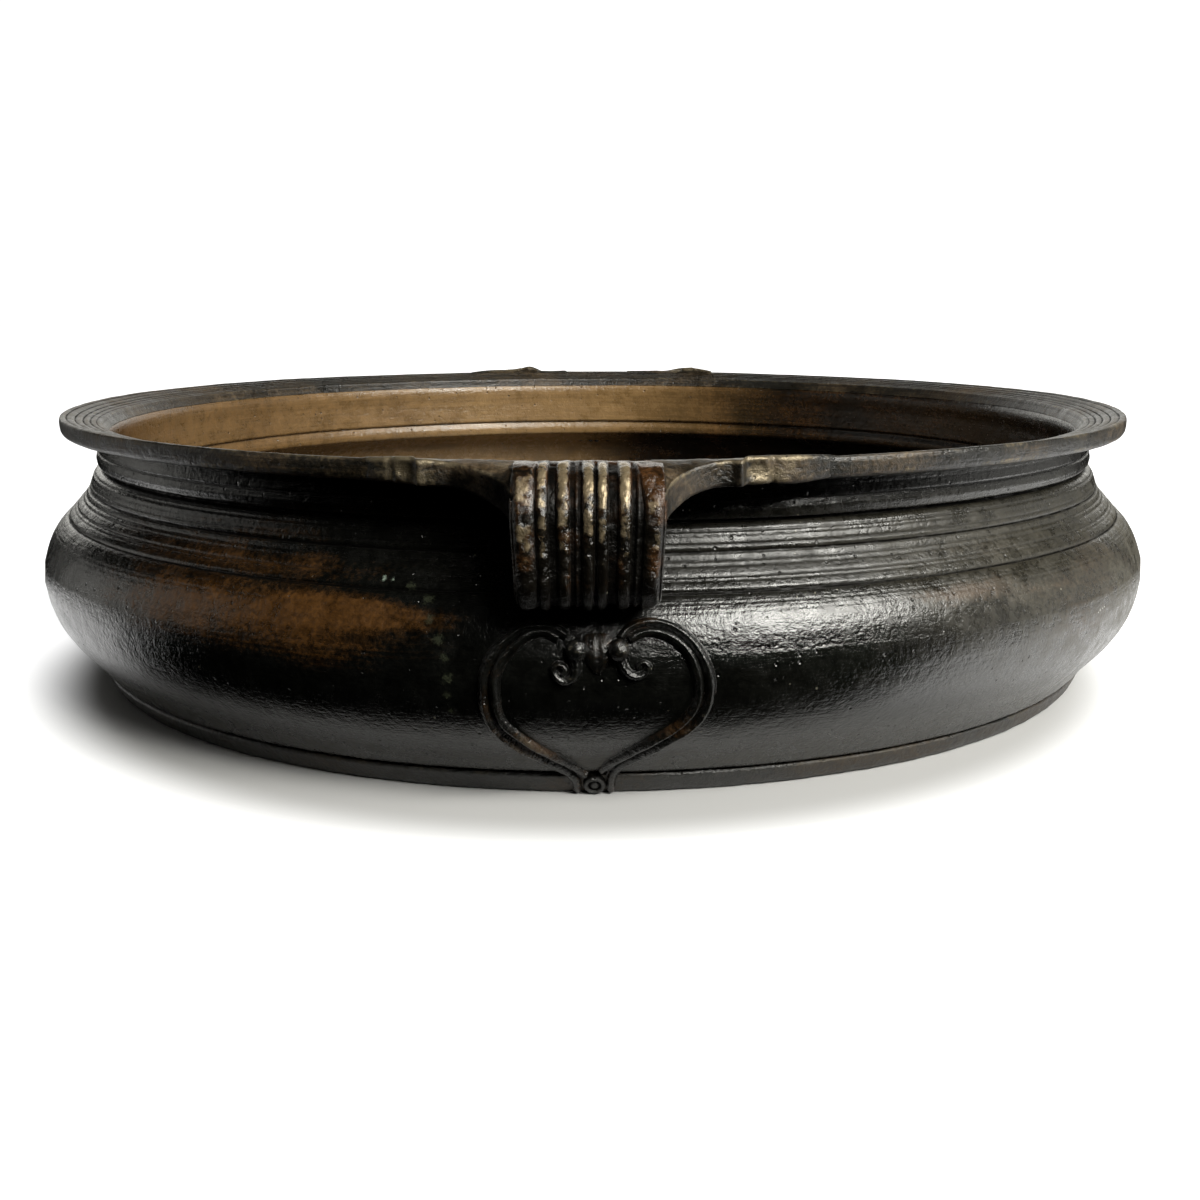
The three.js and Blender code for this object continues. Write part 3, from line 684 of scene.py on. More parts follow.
def bowl_outline():
    return join_runs(
        ([(0.0, FLOOR_UNDERSIDE), (120.0, FLOOR_UNDERSIDE), (FOOT_BORE + 1.0, FLOOR_UNDERSIDE)], FLOOR_STEP),
        (BELLY[:-4], MEDIUM),
        (BELLY[-4:], FINE * 1.3),
        (SHOULDER, FINE),
        (LOWER_RING, FINE),
        (UPPER_RING, FINE),
        (NECK_INSIDE, MEDIUM),
        (RIDGE_BAND, MEDIUM / 1.6),
        (CAVITY, COARSE),
        ([(215.0, FLOOR_TOP), (120.0, FLOOR_TOP), (0.0, FLOOR_TOP)], FLOOR_STEP / 2.0),
    )


def bowl_grain(points):
    return 0.12 * lumps(points, 17.0, 1) + 0.09 * lumps(points, 8.0, 2)


def pole_fans(rows, columns):
    """Triangles to the two axis points that follow a grid of rows x columns."""
    bottom, top = rows * columns, rows * columns + 1
    faces = []
    for row in range(rows):
        after = (row + 1) % rows
        faces.append([bottom, row * columns, after * columns])
        faces.append([top, after * columns + columns - 1, row * columns + columns - 1])
    return faces


def build_bowl():
    outline = bowl_outline()
    inner = outline[1:-1]
    outer_side = np.arange(len(inner)) < np.argmax(inner[:, 1])
    cut = np.where(outer_side, line_cuts(inner[:, 1], WALL_LINES), 0.0)
    cut = cut * (inner[:, 0] > FOOT_BORE + 2.0)
    grid = turned_grid(outline, False, BOWL_TURNS, np.concatenate([[0.0], cut, [0.0]]), bowl_grain)[:, 1:-1]
    inside = np.broadcast_to(~outer_side, grid.shape[:2])
    carved = inner - cut[:, None] * outline_normals(inner, False)
    proud = outline_crests(carved, False, 2)
    crest = np.where(outer_side & (inner[:, 1] > 64.0), smooth(0.04, 0.28, proud), 0.0)
    hollow = np.where(outer_side & (inner[:, 1] > 64.0), smooth(0.05, 0.45, -proud), 0.0)
    warmth = body_warmth(grid, inside)
    wear_and_highlight = crest[None, :] * (0.28 + 0.25 * lumps(grid, 30.0, 5))
    wear_and_highlight = wear_and_highlight * np.ones_like(warmth)
    # Painted shade on the shoulder right of the front strap, which darkens and dulls its highlight.
    dull_shaded_shoulder = 0.45 * zone(grid, 14, 86, 22, 12) * (1.0 + 0.4 * lumps(grid, 5.0, 18))
    grime_and_shade = hollow[None, :] + np.where(inside, 0.0, dull_shaded_shoulder)
    rows, columns = grid.shape[:2]
    points = np.concatenate([grid.reshape(-1, 3), [[0, 0, FLOOR_UNDERSIDE], [0, 0, FLOOR_TOP]]])
    faces = grid_faces(rows, columns, True, False) + pole_fans(rows, columns)
    layers = {
        "wear_and_highlight": np.append(wear_and_highlight.ravel(), [0, 0]),
        "warmth": np.append(warmth.ravel(), [0.3, 0.9]),
        "grime_and_shade": np.append(grime_and_shade.ravel(), [0, 0]),
        "gold_and_light": np.append(np.where(inside, inside_gold_and_light(grid), 0.0).ravel(), [0, 0]),
        "dust_and_sheen": np.append(wall_dust_and_sheen(grid, inside).ravel(), [0, 0]),
    }
    make_piece(
        "bowl", uneven(points), faces, layers, ("bowl_floor", "belly_wall", "neck_band"),
        MATERIALS["body_brass"],
    )


def rim_top_height(radius):
    return RIM_TOP - MOUTH_DROP * (RIM_RADIUS - radius) / (RIM_RADIUS - MOUTH_RADIUS)


def rim_outline():
    top = [(radius, rim_top_height(radius)) for radius in (248.6, 244.0, 239.0, 235.0, 233.2)]
    return join_runs(
        ([(236.0, 112.1), (241.0, 112.0), (247.6, 112.0), (249.2, 112.6), (250.0, 114.0)], 0.8),
        ([(250.0, 114.0), (250.3, 116.5), (250.2, 118.4), (249.7, 119.5), top[0]], 0.5),
        (top, 0.34),
        ([top[-1], (232.5, 115.8), (232.2, 115.0), (231.2, 113.6), (230.0, 111.6)], 0.4),
        ([(230.0, 111.6), (231.6, 111.0), (236.0, 112.1)], 1.5),
    )[:-1]


def rim_grain(points):
    return 0.10 * lumps(points, 12.0, 21) + 0.06 * lumps(points, 5.0, 22)


def build_rim():
    outline = rim_outline()
    on_top = (outline[:, 1] > 115.0) & (outline[:, 0] < 249.0)
    cut = np.where(on_top, line_cuts(outline[:, 0], RIM_LINES), 0.0)
    grid = turned_grid(outline, True, RIM_TURNS, cut, rim_grain)
    carved = outline - cut[:, None] * outline_normals(outline, True)
    proud = outline_crests(carved, True, 2)
    crest = smooth(0.02, 0.22, proud)[None, :]
    hollow = smooth(0.03, 0.25, -proud)[None, :]
    full = np.ones(grid.shape[:2])
    worn_and_highlit = 0.5 + 0.45 * lumps(grid, 22.0, 23) + 0.25 * lumps(grid, 6.0, 24)
    layers = {
        "wear_and_highlight": crest * worn_and_highlit * 0.8,
        "warmth": 0.3 + 0.4 * lumps(grid, 34.0, 25) * full,
        "grime_and_shade": hollow * full,
    }
    faces = grid_faces(*grid.shape[:2], True, True)
    make_piece("rim", uneven(grid), faces, layers, ("rim_flange",), MATERIALS["rim_brass"])


def foot_outline():
    return join_runs(
        ([(FOOT_BORE, 5.4), (FOOT_BORE, 1.0), (FOOT_BORE + 0.6, 0.05)], 1.0),
        ([(FOOT_BORE + 0.6, 0.05), (233.8, 0.05), (234.8, 0.5), (236.4, 2.2)], 0.6),
        ([(236.4, 2.2), (237.3, 4.0), (238.0, 6.0), (238.3, 7.0), (237.9, 7.8), (236.8, 8.1),
          (234.0, 7.2)], 0.5),
        ([(234.0, 7.2), (FOOT_BORE, 5.4)], 2.0),
    )[:-1]


def foot_grain(points):
    return 0.16 * lumps(points, 8.0, 31) + 0.12 * lumps(points, 4.0, 32)


def build_foot():
    outline = foot_outline()
    grid = turned_grid(outline, True, FOOT_TURNS, np.zeros(len(outline)), foot_grain)
    grid[..., 2] = np.maximum(grid[..., 2], 0.0)
    crest = smooth(5.0, 7.4, outline[:, 1]) * (outline[:, 0] > 236.5)
    layers = {
        "wear_and_highlight": crest[None, :] * (0.45 + 0.5 * lumps(grid, 14.0, 33)),
        "warmth": 0.35 + 0.35 * lumps(grid, 30.0, 34),
        "grime_and_shade": np.zeros(grid.shape[:2]),
    }
    faces = grid_faces(*grid.shape[:2], True, True)
    make_piece("foot", uneven(grid), faces, layers, ("foot_ring",), MATERIALS["foot_brass"])


# ---------------------------------------------------------------- handles


def end_frame(points, turn):
    """Turns points made at the front end round the bowl's axis."""
    cosine, sine = math.cos(turn), math.sin(turn)
    x, y, z = np.moveaxis(points, -1, 0)
    return np.stack([x * cosine - y * sine, x * sine + y * cosine, z], axis=-1)


def end_name(turn):
    return "front_" if turn == FRONT else "rear_"


def make_end_piece(turn, piece, grid, faces, layers, slot):
    """A piece made at the front end, placed at the end that turn gives. Its name is its CAD node's."""
    name = end_name(turn) + piece
    make_piece(name, uneven(end_frame(grid, turn)), faces, layers, (name,), MATERIALS[slot])


def strap_path():
    """The strap's outer face as (reach past the rim, height), with the angle it faces."""
    middle = STRAP_TOP - STRAP_THICKNESS / 2.0
    step = 0.8
    points, facing = [], []
    for out in np.arange(-STRAP_RUN - 3.0, STRAP_RUN, step):
        points.append((out, middle))
        facing.append(math.pi / 2.0)
    for turn in np.arange(0.0, math.pi / 2.0, step / STRAP_BEND):
        points.append((STRAP_RUN + STRAP_BEND * math.sin(turn), middle - STRAP_BEND * (1 - math.cos(turn))))
        facing.append(math.pi / 2.0 - turn)
    out = STRAP_RUN + STRAP_BEND
    for height in np.arange(middle - STRAP_BEND, STRAP_CURL_HEIGHT, -step):
        points.append((out, height))
        facing.append(0.0)
    for turn in np.arange(0.0, math.pi / 2.0, step / STRAP_CURL):
        inward = STRAP_CURL * (1 - math.cos(turn))
        points.append((out - inward, STRAP_CURL_HEIGHT - STRAP_CURL * math.sin(turn)))
        facing.append(-turn)
    for inward in np.arange(out - STRAP_CURL, -6.0, -step):
        points.append((inward, STRAP_CURL_HEIGHT - STRAP_CURL))
        facing.append(-math.pi / 2.0)
    return np.array(points), np.array(facing)


def reed_height(across):
    """Height of the reeds above the strap's own face."""
    height = np.zeros_like(across)
    for centre, half, rise in REEDS:
        part = np.clip(1.0 - ((across - centre) / half) ** 2, 0.0, 1.0)
        height = np.maximum(height, rise * np.sqrt(part))
    return height


def build_strap(turn):
    points, facing = strap_path()
    across = np.linspace(-STRAP_HALF_WIDTH, STRAP_HALF_WIDTH, 150)
    side = np.linspace(0.0, math.pi, 13)[1:-1]
    back = np.linspace(STRAP_HALF_WIDTH, -STRAP_HALF_WIDTH, 26)
    half = STRAP_THICKNESS / 2.0
    edge = np.clip((STRAP_HALF_WIDTH - np.abs(across)) / 2.2, 0.0, 1.0)
    face = half - STRAP_VALLEY + reed_height(across)
    face = face * np.sqrt(1.0 - (1.0 - edge) ** 2 * 0.75)
    lateral = np.concatenate([across, STRAP_HALF_WIDTH + 0.9 * np.sin(side), back,
                              -STRAP_HALF_WIDTH - 0.9 * np.sin(side)])
    start_height, end_height = face[-1], face[0]
    right = start_height + (-half - start_height) * (1.0 - np.cos(side)) / 2.0
    left = -half + (end_height + half) * (1.0 - np.cos(side)) / 2.0
    depth = np.concatenate([face, right, np.full(len(back), -half), left])
    reeded = np.concatenate([reed_height(across), np.zeros(len(lateral) - len(across))])
    flat = np.concatenate([np.ones(len(across)), np.zeros(len(lateral) - len(across))])

    travelled = np.concatenate([[0.0], np.cumsum(np.linalg.norm(np.diff(points, axis=0), axis=1))])
    travelled = travelled - STRAP_RUN - 3.0
    starts = np.interp(lateral, REED_START_PLACES, REED_STARTS)[None, :]
    fade = smooth(starts, starts + REED_FADE, travelled[:, None])
    level = half - 0.35 + 0.1 * reeded
    height = depth * (1.0 - flat) + flat * (depth * fade + level * (1.0 - fade))
    narrowing = 1.0 - 0.05 * smooth(-110.0, -78.0, -points[:, 1])[:, None]
    x = STRAP_SHIFT + lateral[None, :] * narrowing
    out = points[:, 0][:, None] + height * np.cos(facing)[:, None]
    z = points[:, 1][:, None] + height * np.sin(facing)[:, None]
    on_top = facing[:, None] > 0.8
    z = z - on_top * STRAP_ROOT_DROP * smooth(0.0, -8.0, out)
    if turn == REAR:
        z = z - on_top * REAR_STRAP_DROP * smooth(-3.0, 2.0, out) * smooth(22.0, 12.0, out)
    grid = np.stack([x, -(RIM_RADIUS + out), z], axis=-1)

    normal = np.stack([np.zeros(len(facing)), -np.cos(facing), np.sin(facing)], axis=-1)[:, None, :]
    rough = 0.30 * lumps(grid, 6.0, 41) + 0.30 * lumps(grid, 2.2, 42) + 0.3 * lumps(grid, 16.0, 43)
    grid = grid + normal * (rough * flat[None, :])[..., None]

    crest = np.where(flat > 0, smooth(0.5, 1.5, reeded), 0.4)[None, :]
    lower = smooth(110.0, 92.0, points[:, 1])[:, None]
    middle = smooth(86.0, 98.0, points[:, 1])[:, None]
    high = smooth(104.0, 116.0, points[:, 1])[:, None]
    golden = 0.8 * bump(lateral, 22.0, 3.0)[None, :] * bump(points[:, 1], 92.0, 6.0)[:, None]
    # Painted highlights: wear_and_highlight lights up the reeds in the high and middle bands.
    # grime_and_shade paints shade in the valleys between the reeds.
    layers = {
        "wear_and_highlight": crest * fade * (0.40 * high + 0.46 * middle + 0.05 + 0.35 * lumps(grid, 2.6, 44))
        + 0.25 * (1 - fade),
        "warmth": (0.55 - 0.55 * lower) + 0.5 * lumps(grid, 7.0, 45) + golden,
        "grime_and_shade": np.where(flat > 0, smooth(0.95, 0.35, reeded), 0.0)[None, :] * fade,
    }
    make_end_piece(turn, "handle_strap", grid, bar_faces(*grid.shape[:2]), layers, "strap_brass")


def wing_section(reach, top, bottom):
    """The wing's section as (reach past the rim, height): under the rim's top, over the edge, and back."""
    root = -9.0
    edge = 1.5
    turn = np.linspace(0.0, math.pi / 2.0, 7)
    over = [(reach - edge + edge * math.sin(t), top - edge + edge * math.cos(t)) for t in turn]
    under = [(reach - edge + edge * math.cos(t), bottom + edge - edge * math.sin(t)) for t in turn]
    middle = [(reach, top - edge + (bottom - top + 2 * edge) * k / 10.0) for k in range(1, 10)]
    bridge = []
    for k in range(1, 15):
        out = root + (reach - edge - root) * k / 15.0
        share = min(max(out / max(reach - edge, 0.1), 0.0), 1.0)
        bridge.append((out, WEB_TOP + (top - WEB_TOP) * share**WEB_CURVE))
    base = [(reach - edge + (root - reach + edge) * k / 6.0, bottom) for k in range(1, 6)]
    return np.array([(root, top - 3.4)] + bridge + over + middle + under + base + [(root, bottom)])


def build_wing(turn, side, controls, dimple):
    stations = curve_through(controls, 0.5)
    if turn == REAR:
        centre, half_width, rise = REAR_WING_RISES[side]
        stations[:, 2] += rise * bump(stations[:, 0], centre, half_width)
    sections = np.array([wing_section(reach, top, bottom) for _, reach, top, bottom in stations])
    place = stations[:, 0][:, None]
    reach, height = sections[..., 0], sections[..., 1]
    sunk = smooth(-1.0, -6.5, reach) * 2.6
    height = height - sunk * (height > 115.0)
    centre, level, half_width, half_height, depth = dimple
    facing = smooth(-3.0, 0.0, reach - stations[:, 1][:, None] + 1.0)
    oval = ((place - centre) / half_width) ** 2 + ((height - level) / half_height) ** 2
    dent = depth * np.exp(-(oval**2))
    reach = reach - dent * facing
    x = side * place + STRAP_SHIFT
    x = np.broadcast_to(x, reach.shape)
    y = -np.sqrt(np.maximum((RIM_RADIUS + reach) ** 2 - x**2, 0.0))
    grid = np.stack([x, y, height], axis=-1)
    rough = 0.35 * lumps(grid, 7.0, 51) + 0.18 * lumps(grid, 3.0, 52)
    grid[..., 1] -= rough * facing
    grid[..., 2] += 0.5 * rough
    # Painted highlight: a lighter line along the wing's top edge.
    edge = smooth(1.4, 0.2, np.abs(height - stations[:, 2][:, None] + 0.8)) * smooth(-3.0, 0.0, reach)
    # Painted shade on the left wing's fillet face.
    left_fillet_shade = 0.85 * smooth(50.0, 44.0, place) * smooth(118.0, 115.5, height)
    shaded_fillet = left_fillet_shade if side < 0 else np.zeros_like(height)
    # Painted light on the tab round the dimple, and in the dimple itself.
    tab_painted_light = 0.45 * bump(place, centre, 9.0) * facing
    layers = {
        "wear_and_highlight": 0.2 + 0.6 * edge + 0.45 * lumps(grid, 6.0, 53) + 0.3 * dent / depth + tab_painted_light,
        "warmth": 0.45 + 0.5 * lumps(grid, 15.0, 54),
        "grime_and_shade": 0.2 * smooth(118.0, 111.0, height) + shaded_fillet,
    }
    hand = "right" if side > 0 else "left"
    faces = bar_faces(*grid.shape[:2])
    if side < 0:
        faces = [face[::-1] for face in faces]
    make_end_piece(turn, "handle_wing_" + hand, grid, faces, layers, "rim_brass")


# ---------------------------------------------------------------- hearts

WALL = np.concatenate([np.array([(234.8, 0.0), (237.3, 4.0), (238.3, 7.0)]), curve_through(BELLY[2:], 1.0)])


def wall_radius(height):
    return np.interp(height, WALL[:, 1], WALL[:, 0])


def on_wall(across, height, stand_out):
    """A point standing out from the wall at the front, with the wall's outward normal there."""
    slope = (wall_radius(height + 1.5) - wall_radius(height - 1.5)) / 3.0
    radius = wall_radius(height)
    angle = across / radius
    length = np.sqrt(1.0 + slope**2)
    out = np.stack([np.sin(angle), -np.cos(angle), -slope], axis=-1) / length[..., None]
    foot = np.stack([radius * np.sin(angle), -radius * np.cos(angle), height], axis=-1)
    return foot + out * np.asarray(stand_out)[..., None], out


CORD_SECTION_POINTS = 22
CORD_SUNK = 1.2
CORD_SKIRT = 0.28
CORD_DOME = 0.78
# Half widths and heights at even steps along a cord, from its start to its end.
CORD_HALF_WIDTHS = (1.6, 1.75, 1.7, 1.75, 1.5)
CORD_HEIGHTS = (1.9, 2.3, 2.4, 2.5, 2.2)
CORD_WEAR = 0.3
SCROLL_HALF_WIDTHS = (1.7, 1.4, 1.15, 0.85)
SCROLL_HEIGHTS = (2.6, 2.1, 1.8, 1.6)
SCROLL_WEAR = 0.45


def cord_section(half_width, height):
    """A ridged cord with a hollow skirt at its foot, as (across, above the wall)."""
    place = np.linspace(1.0, -1.0, CORD_SECTION_POINTS)
    dome = np.sqrt(np.maximum(1.0 - (place / CORD_DOME) ** 2, 0.0))
    above = height * (0.80 * dome + 0.20 * (1.0 - np.abs(place)) ** 1.5)
    foot = CORD_SKIRT * half_width
    across = place * (half_width + foot)
    above = np.concatenate([[-CORD_SUNK], above, [-CORD_SUNK]])
    across = np.concatenate([[across[0]], across, [across[-1]]])
    return across, above


def swept_cord(route, half_widths, heights):
    """A cord laid on the wall along a route of (place across, height)."""
    line = curve_through(route, 0.5)
    share = np.linspace(0.0, 1.0, len(line))
    half_width = np.interp(share, np.linspace(0, 1, len(half_widths)), half_widths)
    rise = np.interp(share, np.linspace(0, 1, len(heights)), heights)
    foot, out = on_wall(line[:, 0] + HEART_SHIFT, line[:, 1], np.zeros(len(line)))
    tangent = np.gradient(foot, axis=0)
    tangent /= np.linalg.norm(tangent, axis=1, keepdims=True)
    sideways = np.cross(tangent, out)
    rows = []
    for k in range(len(line)):
        across, above = cord_section(half_width[k], rise[k])
        rows.append(foot[k] + across[:, None] * sideways[k] + above[:, None] * out[k])
    grid = np.array(rows)
    swell = 0.18 * lumps(grid, 6.0, 61) + 0.10 * lumps(grid, 2.5, 62)
    middle = 1.0 - np.abs(np.linspace(-1, 1, grid.shape[1])) ** 4
    return grid + out[:, None, :] * (swell * middle)[..., None], middle


def build_cord(turn, piece, route, half_widths, heights, wear_and_highlight):
    grid, middle = swept_cord(route, half_widths, heights)
    lower_left = bump(from_front(grid), -4.6, 2.6) * bump(grid[..., 2], 23.0, 7.0)
    lower_right = bump(from_front(grid), 6.4, 1.6) * bump(grid[..., 2], 30.0, 5.0)
    worn_golden = 1.1 * lower_left + 0.7 * lower_right
    ridge = middle[None, :]
    layers = {
        "wear_and_highlight": wear_and_highlight * ridge**3 * (0.8 + 0.4 * lumps(grid, 7.0, 63)) + 0.5 * worn_golden * ridge,
        "warmth": 0.1 + 0.35 * lumps(grid, 14.0, 64) + worn_golden,
        "grime_and_shade": (1.0 - ridge) * 0.8 * np.ones(grid.shape[:2]),
    }
    make_end_piece(turn, piece, grid, bar_faces(*grid.shape[:2]), layers, "relief_brass")


def round_knob(centre, out, profile, turns, squash=1.0):
    """A turned knob about an outward line. profile is (radius, height) from its base to its tip."""
    upward = np.array([0.0, 0.0, 1.0])
    side = np.cross(upward, out)
    side /= np.linalg.norm(side)
    upward = np.cross(out, side)
    angle = np.arange(turns) * 2.0 * math.pi / turns
    ring = np.cos(angle)[:, None] * side + np.sin(angle)[:, None] * upward * squash
    return centre + profile[None, :, :1] * ring[:, None, :] + profile[None, :, 1:] * out


def knob_faces(rows, columns):
    """The sides of a knob whose profiles are the grid's rows, and one face over its base and its tip."""
    faces = grid_faces(rows, columns, True, False)
    faces.append([row * columns for row in range(rows)])
    faces.append([row * columns + columns - 1 for row in range(rows)][::-1])
    return faces


def build_bead(turn, piece, across):
    centre, out = on_wall(np.array(across + HEART_SHIFT), np.array(BEAD_HEIGHT), BEAD_STAND_OUT)
    lean = np.linspace(-0.42 * math.pi, 0.49 * math.pi, 26)
    profile = np.stack([BEAD_RADIUS * np.cos(lean), BEAD_RADIUS * np.sin(lean)], axis=1)
    grid = round_knob(centre, out, profile, 48, 1.04)
    away = grid - centre
    grid = centre + away * (1.0 + 0.05 * lumps(grid, 3.2, 71) + 0.02 * lumps(grid, 1.4, 72))[..., None]
    layers = {
        "wear_and_highlight": 0.42 * smooth(-0.2, 0.7, np.sin(lean))[None, :] * np.ones(grid.shape[:2]),
        "warmth": np.full(grid.shape[:2], 0.1),
        "grime_and_shade": 0.9 * smooth(0.0, -0.6, np.sin(lean))[None, :] * np.ones(grid.shape[:2]),
    }
    make_end_piece(turn, piece, grid, knob_faces(*grid.shape[:2]), layers, "relief_brass")


def build_boss(turn):
    centre, out = on_wall(np.array(BOSS_PLACE + HEART_SHIFT), np.array(BOSS_HEIGHT), 0.0)
    r = BOSS_RADIUS
    profile = curve_through([
        (r + 0.3, -1.5), (r + 0.1, 0.6), (r - 0.3, 1.5), (r - 0.9, 1.8), (r - 1.5, 1.4), (r - 1.9, 0.7),
        (r - 2.4, 1.1), (r - 3.0, 1.6), (0.15, 1.75),
    ], 0.22)
    grid = round_knob(centre, out, profile, 48)
    grid = grid + out * (0.10 * lumps(grid, 2.0, 73))[..., None]
    proud = smooth(0.9, 1.7, profile[:, 1])[None, :]
    layers = {
        "wear_and_highlight": 0.25 * proud * np.ones(grid.shape[:2]),
        "warmth": np.full(grid.shape[:2], 0.1),
        "grime_and_shade": (1.0 - proud) * np.ones(grid.shape[:2]),
    }
    make_end_piece(turn, "foot_boss", grid, knob_faces(*grid.shape[:2]), layers, "foot_brass")


def build_bridge(turn):
    """The saddle between the beads: a pinched band that narrows downwards."""
    levels = curve_through([
        (50.6, 0.8, 0.2), (52.0, 2.1, 0.9), (53.8, 3.4, 1.6), (55.8, 4.4, 2.1), (58.0, 4.9, 2.4),
        (60.2, 5.0, 2.1), (62.0, 4.8, 1.4), (63.2, 4.2, 0.7), (64.0, 3.2, 0.1),
    ], 0.35)
    across = np.linspace(-1.0, 1.0, 31)
    pinch = 0.6 * bump(across, 0.05, 0.22)
    rows = []
    for height, half, rise in levels:
        x = half * across
        above = rise * np.sqrt(np.maximum(1.0 - across**2, 0.0)) - pinch * 0.35 * rise - 0.15
        place, out = on_wall(x + HEART_SHIFT + 0.1, np.full_like(x, height), above)
        under, _ = on_wall(x[::-1] + HEART_SHIFT + 0.1, np.full_like(x, height), np.full_like(x, -1.2))
        rows.append(np.concatenate([place, under]))
    grid = np.array(rows)
    crest = np.concatenate([bump(across, -0.4, 0.25) + bump(across, 0.5, 0.25), np.zeros(len(across))])
    layers = {
        "wear_and_highlight": 0.35 * crest[None, :] * np.ones(grid.shape[:2]),
        "warmth": np.full(grid.shape[:2], 0.25),
        "grime_and_shade": np.concatenate([pinch, np.zeros(len(across))])[None, :] * np.ones(grid.shape[:2]),
    }
    make_end_piece(turn, "heart_bridge", grid, bar_faces(*grid.shape[:2]), layers, "relief_brass")


def build_end(turn):
    build_strap(turn)
    build_wing(turn, 1.0, WING_RIGHT, DIMPLE_RIGHT)
    build_wing(turn, -1.0, WING_LEFT, DIMPLE_LEFT)
    for piece, route in CORDS.items():
        build_cord(turn, piece, route, CORD_HALF_WIDTHS, CORD_HEIGHTS, CORD_WEAR)
    for piece, route in SCROLLS.items():
        build_cord(turn, piece, route, SCROLL_HALF_WIDTHS, SCROLL_HEIGHTS, SCROLL_WEAR)
    for piece, across in BEADS.items():
        build_bead(turn, piece, across)
    build_bridge(turn)
    build_boss(turn)


# ---------------------------------------------------------------- stage, light and camera


FLOOR_HALF = 8.0
FLOOR_COLOUR = (0.60, 0.60, 0.60, 1)
# The floor has a painted glow beyond a tight shadow round the foot, and where the glow fades
# in it paints the shadow's edge. Its start and end are distances in metres from this place.
GLOW_CENTRE = (-0.007, -0.016, 0.0)
GLOW_WIDENING = (1.07, 1.0, 1.0)
FLOOR_GLOW_START = 0.243
FLOOR_GLOW_END = 0.290
FLOOR_GLOW = 1.0
BACKGROUND_STRENGTH = 1.1
LIGHT_HEIGHT = 0.06
# The mirrored ring of floor: its inner radius and least reach in metres, and its two wide
# parts as (angle from the front, half angle, extra reach).
NEAR_FLOOR_INNER = 0.2
NEAR_FLOOR_REACH = 0.258
NEAR_FLOOR_RIGHT = (78.0, 30.0, 0.42)
NEAR_FLOOR_LEFT = (-88.0, 20.0, 0.30)
NEAR_FLOOR_LIFT = 0.0004
NEAR_FLOOR_STEPS = 181
WARM = (1.0, 0.985, 0.92)
WHITE = (1, 1, 1)
# Lights, as (name, direction, distance, width, height, radiance, colour, seen in reflections).
LIGHTS = [
    ("key", (0.560, -0.560, 0.600), 1.9, 1.0, 0.65, 18.0, WARM, True),
    ("overhead", (0.15, -0.1, 1.0), 3.0, 4.0, 4.0, 0.35, WHITE, False),
    ("front_fill", (0.25, -0.85, 0.60), 2.6, 1.2, 1.2, 0.7, WARM, False),
    ("strap_light", (0.34, -0.75, 0.62), 2.4, 0.45, 0.6, 14.0, WARM, True),
    ("right_card", (1.0, 0.15, 0.05), 1.8, 1.6, 1.2, 0.5, WARM, True),
    ("back_wall", (0.0, 1.0, 0.22), 3.0, 5.0, 1.2, 1.5, WARM, True),
    ("left_strip", (-1.0, -0.10, 0.32), 2.2, 0.5, 0.6, 0.8, WARM, True),
    ("left_card", (-1.0, 0.35, 0.06), 2.2, 1.0, 0.8, 0.6, WARM, True),
]
CAMERA_LENS = 42.15
CAMERA_SENSOR = 36.0
CAMERA_NEAR = 0.01
CAMERA_PLACE = (0.0, -0.707, 0.1755)
CAMERA_TILT = 77.41
CAMERA_PAN = -0.245


def floor_material():
    """A pale floor with a painted glow that makes it bright away from the object."""
    s = Shader("pale_floor_painted_glow")
    plain = s.node("ShaderNodeBsdfDiffuse")
    plain.inputs["Color"].default_value = FLOOR_COLOUR
    length = s.node("ShaderNodeVectorMath", operation="DISTANCE")
    widened = s.node("ShaderNodeVectorMath", operation="MULTIPLY")
    s.put(widened.inputs[0], s.node("ShaderNodeTexCoord").outputs["Object"])
    widened.inputs[1].default_value = GLOW_WIDENING
    s.put(length.inputs[0], widened.outputs[0])
    length.inputs[1].default_value = GLOW_CENTRE
    # Painted glow: the floor shines by itself beyond the tight shadow round the foot.
    glow = s.node("ShaderNodeEmission")
    strength = s.spread(length.outputs["Value"], FLOOR_GLOW_START, FLOOR_GLOW_END, 0.0, FLOOR_GLOW)
    s.put(glow.inputs["Strength"], strength)
    both = s.node("ShaderNodeAddShader")
    s.put(both.inputs[0], plain.outputs[0])
    s.put(both.inputs[1], glow.outputs[0])
    output = s.node("ShaderNodeOutputMaterial")
    s.put(output.inputs["Surface"], both.outputs[0])
    return s.material


def build_floor():
    half = FLOOR_HALF
    mesh = bpy.data.meshes.new("floor")
    corners = [(-half, -half, 0), (half, -half, 0), (half, half, 0), (-half, half, 0)]
    mesh.from_pydata(corners, [], [(0, 1, 2, 3)])
    mesh.materials.append(floor_material())
    floor = bpy.data.objects.new("floor", mesh)
    bpy.context.scene.collection.objects.link(floor)
    floor.visible_glossy = False
    floor.visible_diffuse = False


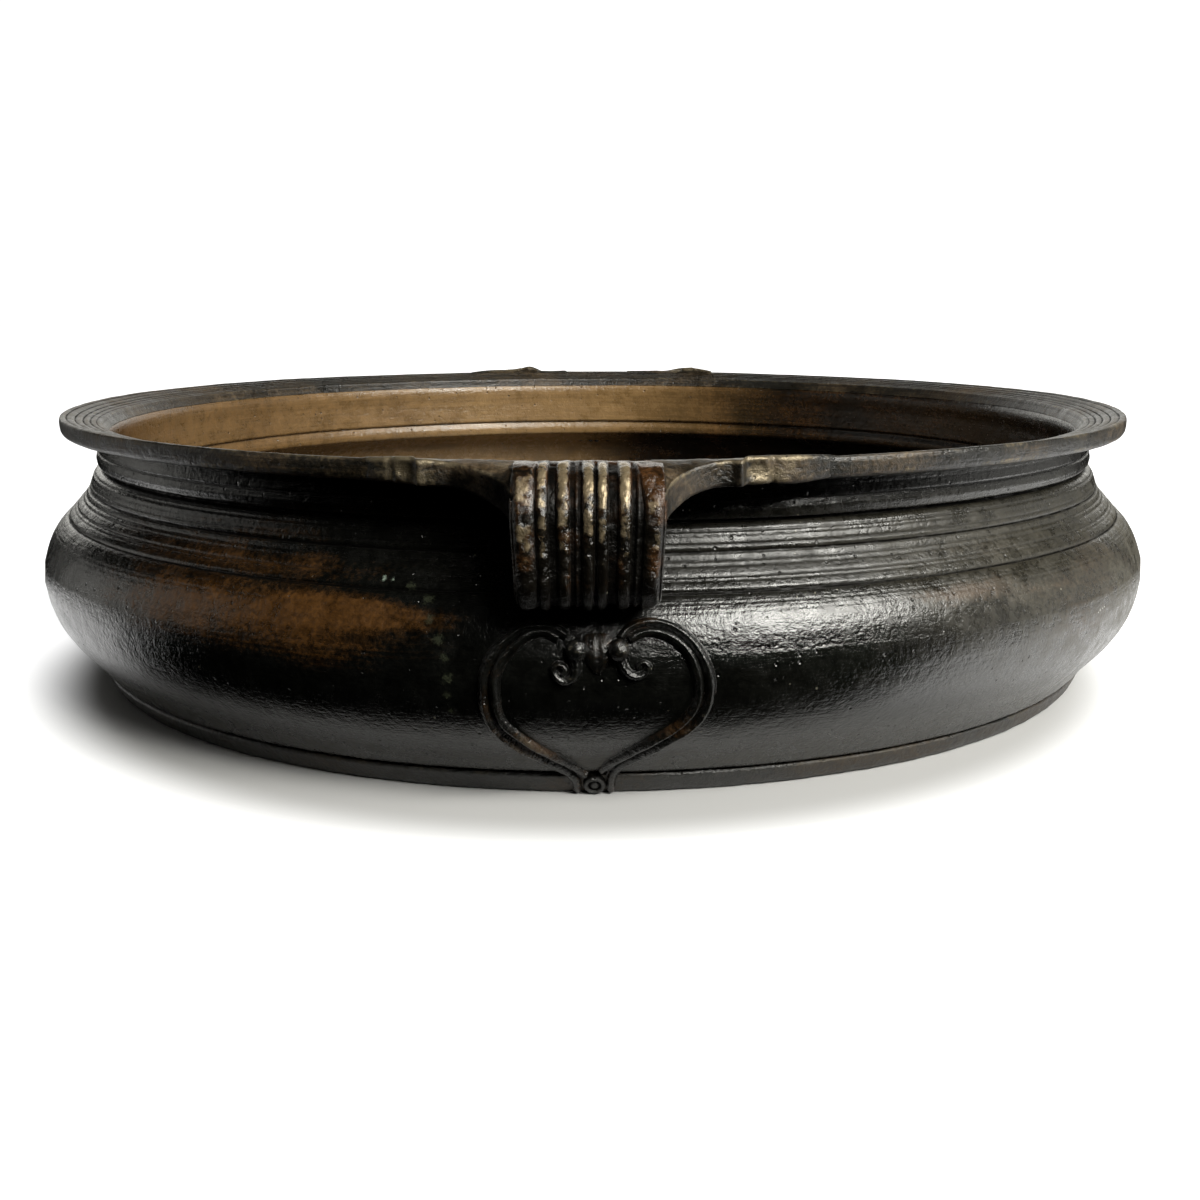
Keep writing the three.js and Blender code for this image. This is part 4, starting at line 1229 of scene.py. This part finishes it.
def build_near_floor():
    """The part of the floor that the bowl mirrors: narrow in front and behind, wide at both sides."""
    angle = np.linspace(-180.0, 180.0, NEAR_FLOOR_STEPS)[:-1]
    reach = NEAR_FLOOR_REACH
    for centre, half_angle, extra in (NEAR_FLOOR_RIGHT, NEAR_FLOOR_LEFT):
        reach = reach + extra * bump(angle, centre, half_angle)
    turn = np.radians(angle)
    height = np.full(len(turn), NEAR_FLOOR_LIFT)
    rings = [
        np.stack([radius * np.sin(turn), -radius * np.cos(turn), height], axis=-1)
        for radius in (np.full(len(turn), NEAR_FLOOR_INNER), reach)
    ]
    mesh = bpy.data.meshes.new("near_floor")
    mesh.from_pydata(np.concatenate(rings).tolist(), [], grid_faces(2, len(turn), False, True))
    mesh.materials.append(floor_material())
    ring = bpy.data.objects.new("near_floor", mesh)
    bpy.context.scene.collection.objects.link(ring)
    ring.visible_camera = False
    ring.visible_diffuse = False
    ring.visible_shadow = False


def softbox(name, direction, distance, width, height, radiance, colour, reflected):
    """An area light that faces the bowl's middle."""
    light = bpy.data.lights.new(name, "AREA")
    light.shape = "RECTANGLE"
    light.size = width
    light.size_y = height
    light.color = colour
    light.energy = radiance * math.pi * width * height
    lamp = bpy.data.objects.new(name, light)
    lamp.location = Vector(direction).normalized() * distance + Vector((0, 0, LIGHT_HEIGHT))
    lamp.rotation_euler = Vector(direction).to_track_quat("Z", "Y").to_euler()
    lamp.visible_camera = False
    lamp.visible_glossy = reflected
    bpy.context.scene.collection.objects.link(lamp)


def build_light():
    world = bpy.data.worlds.new("studio")
    world.use_nodes = True
    world.node_tree.nodes["Background"].inputs["Color"].default_value = (1, 1, 1, 1)
    world.node_tree.nodes["Background"].inputs["Strength"].default_value = BACKGROUND_STRENGTH
    world.cycles_visibility.glossy = False
    world.cycles_visibility.diffuse = False
    bpy.context.scene.world = world
    for light in LIGHTS:
        softbox(*light)


def build_camera():
    camera = bpy.data.cameras.new("camera")
    camera.lens = CAMERA_LENS
    camera.sensor_width = CAMERA_SENSOR
    camera.clip_start = CAMERA_NEAR
    view = bpy.data.objects.new("camera", camera)
    view.location = CAMERA_PLACE
    view.rotation_euler = (math.radians(CAMERA_TILT), 0.0, math.radians(CAMERA_PAN))
    bpy.context.scene.collection.objects.link(view)
    bpy.context.scene.camera = view


build_bowl()
build_rim()
build_foot()
for end in (FRONT, REAR):
    build_end(end)
build_floor()
build_near_floor()
build_light()
build_camera()
bpy.context.scene.view_settings.view_transform = "Standard"
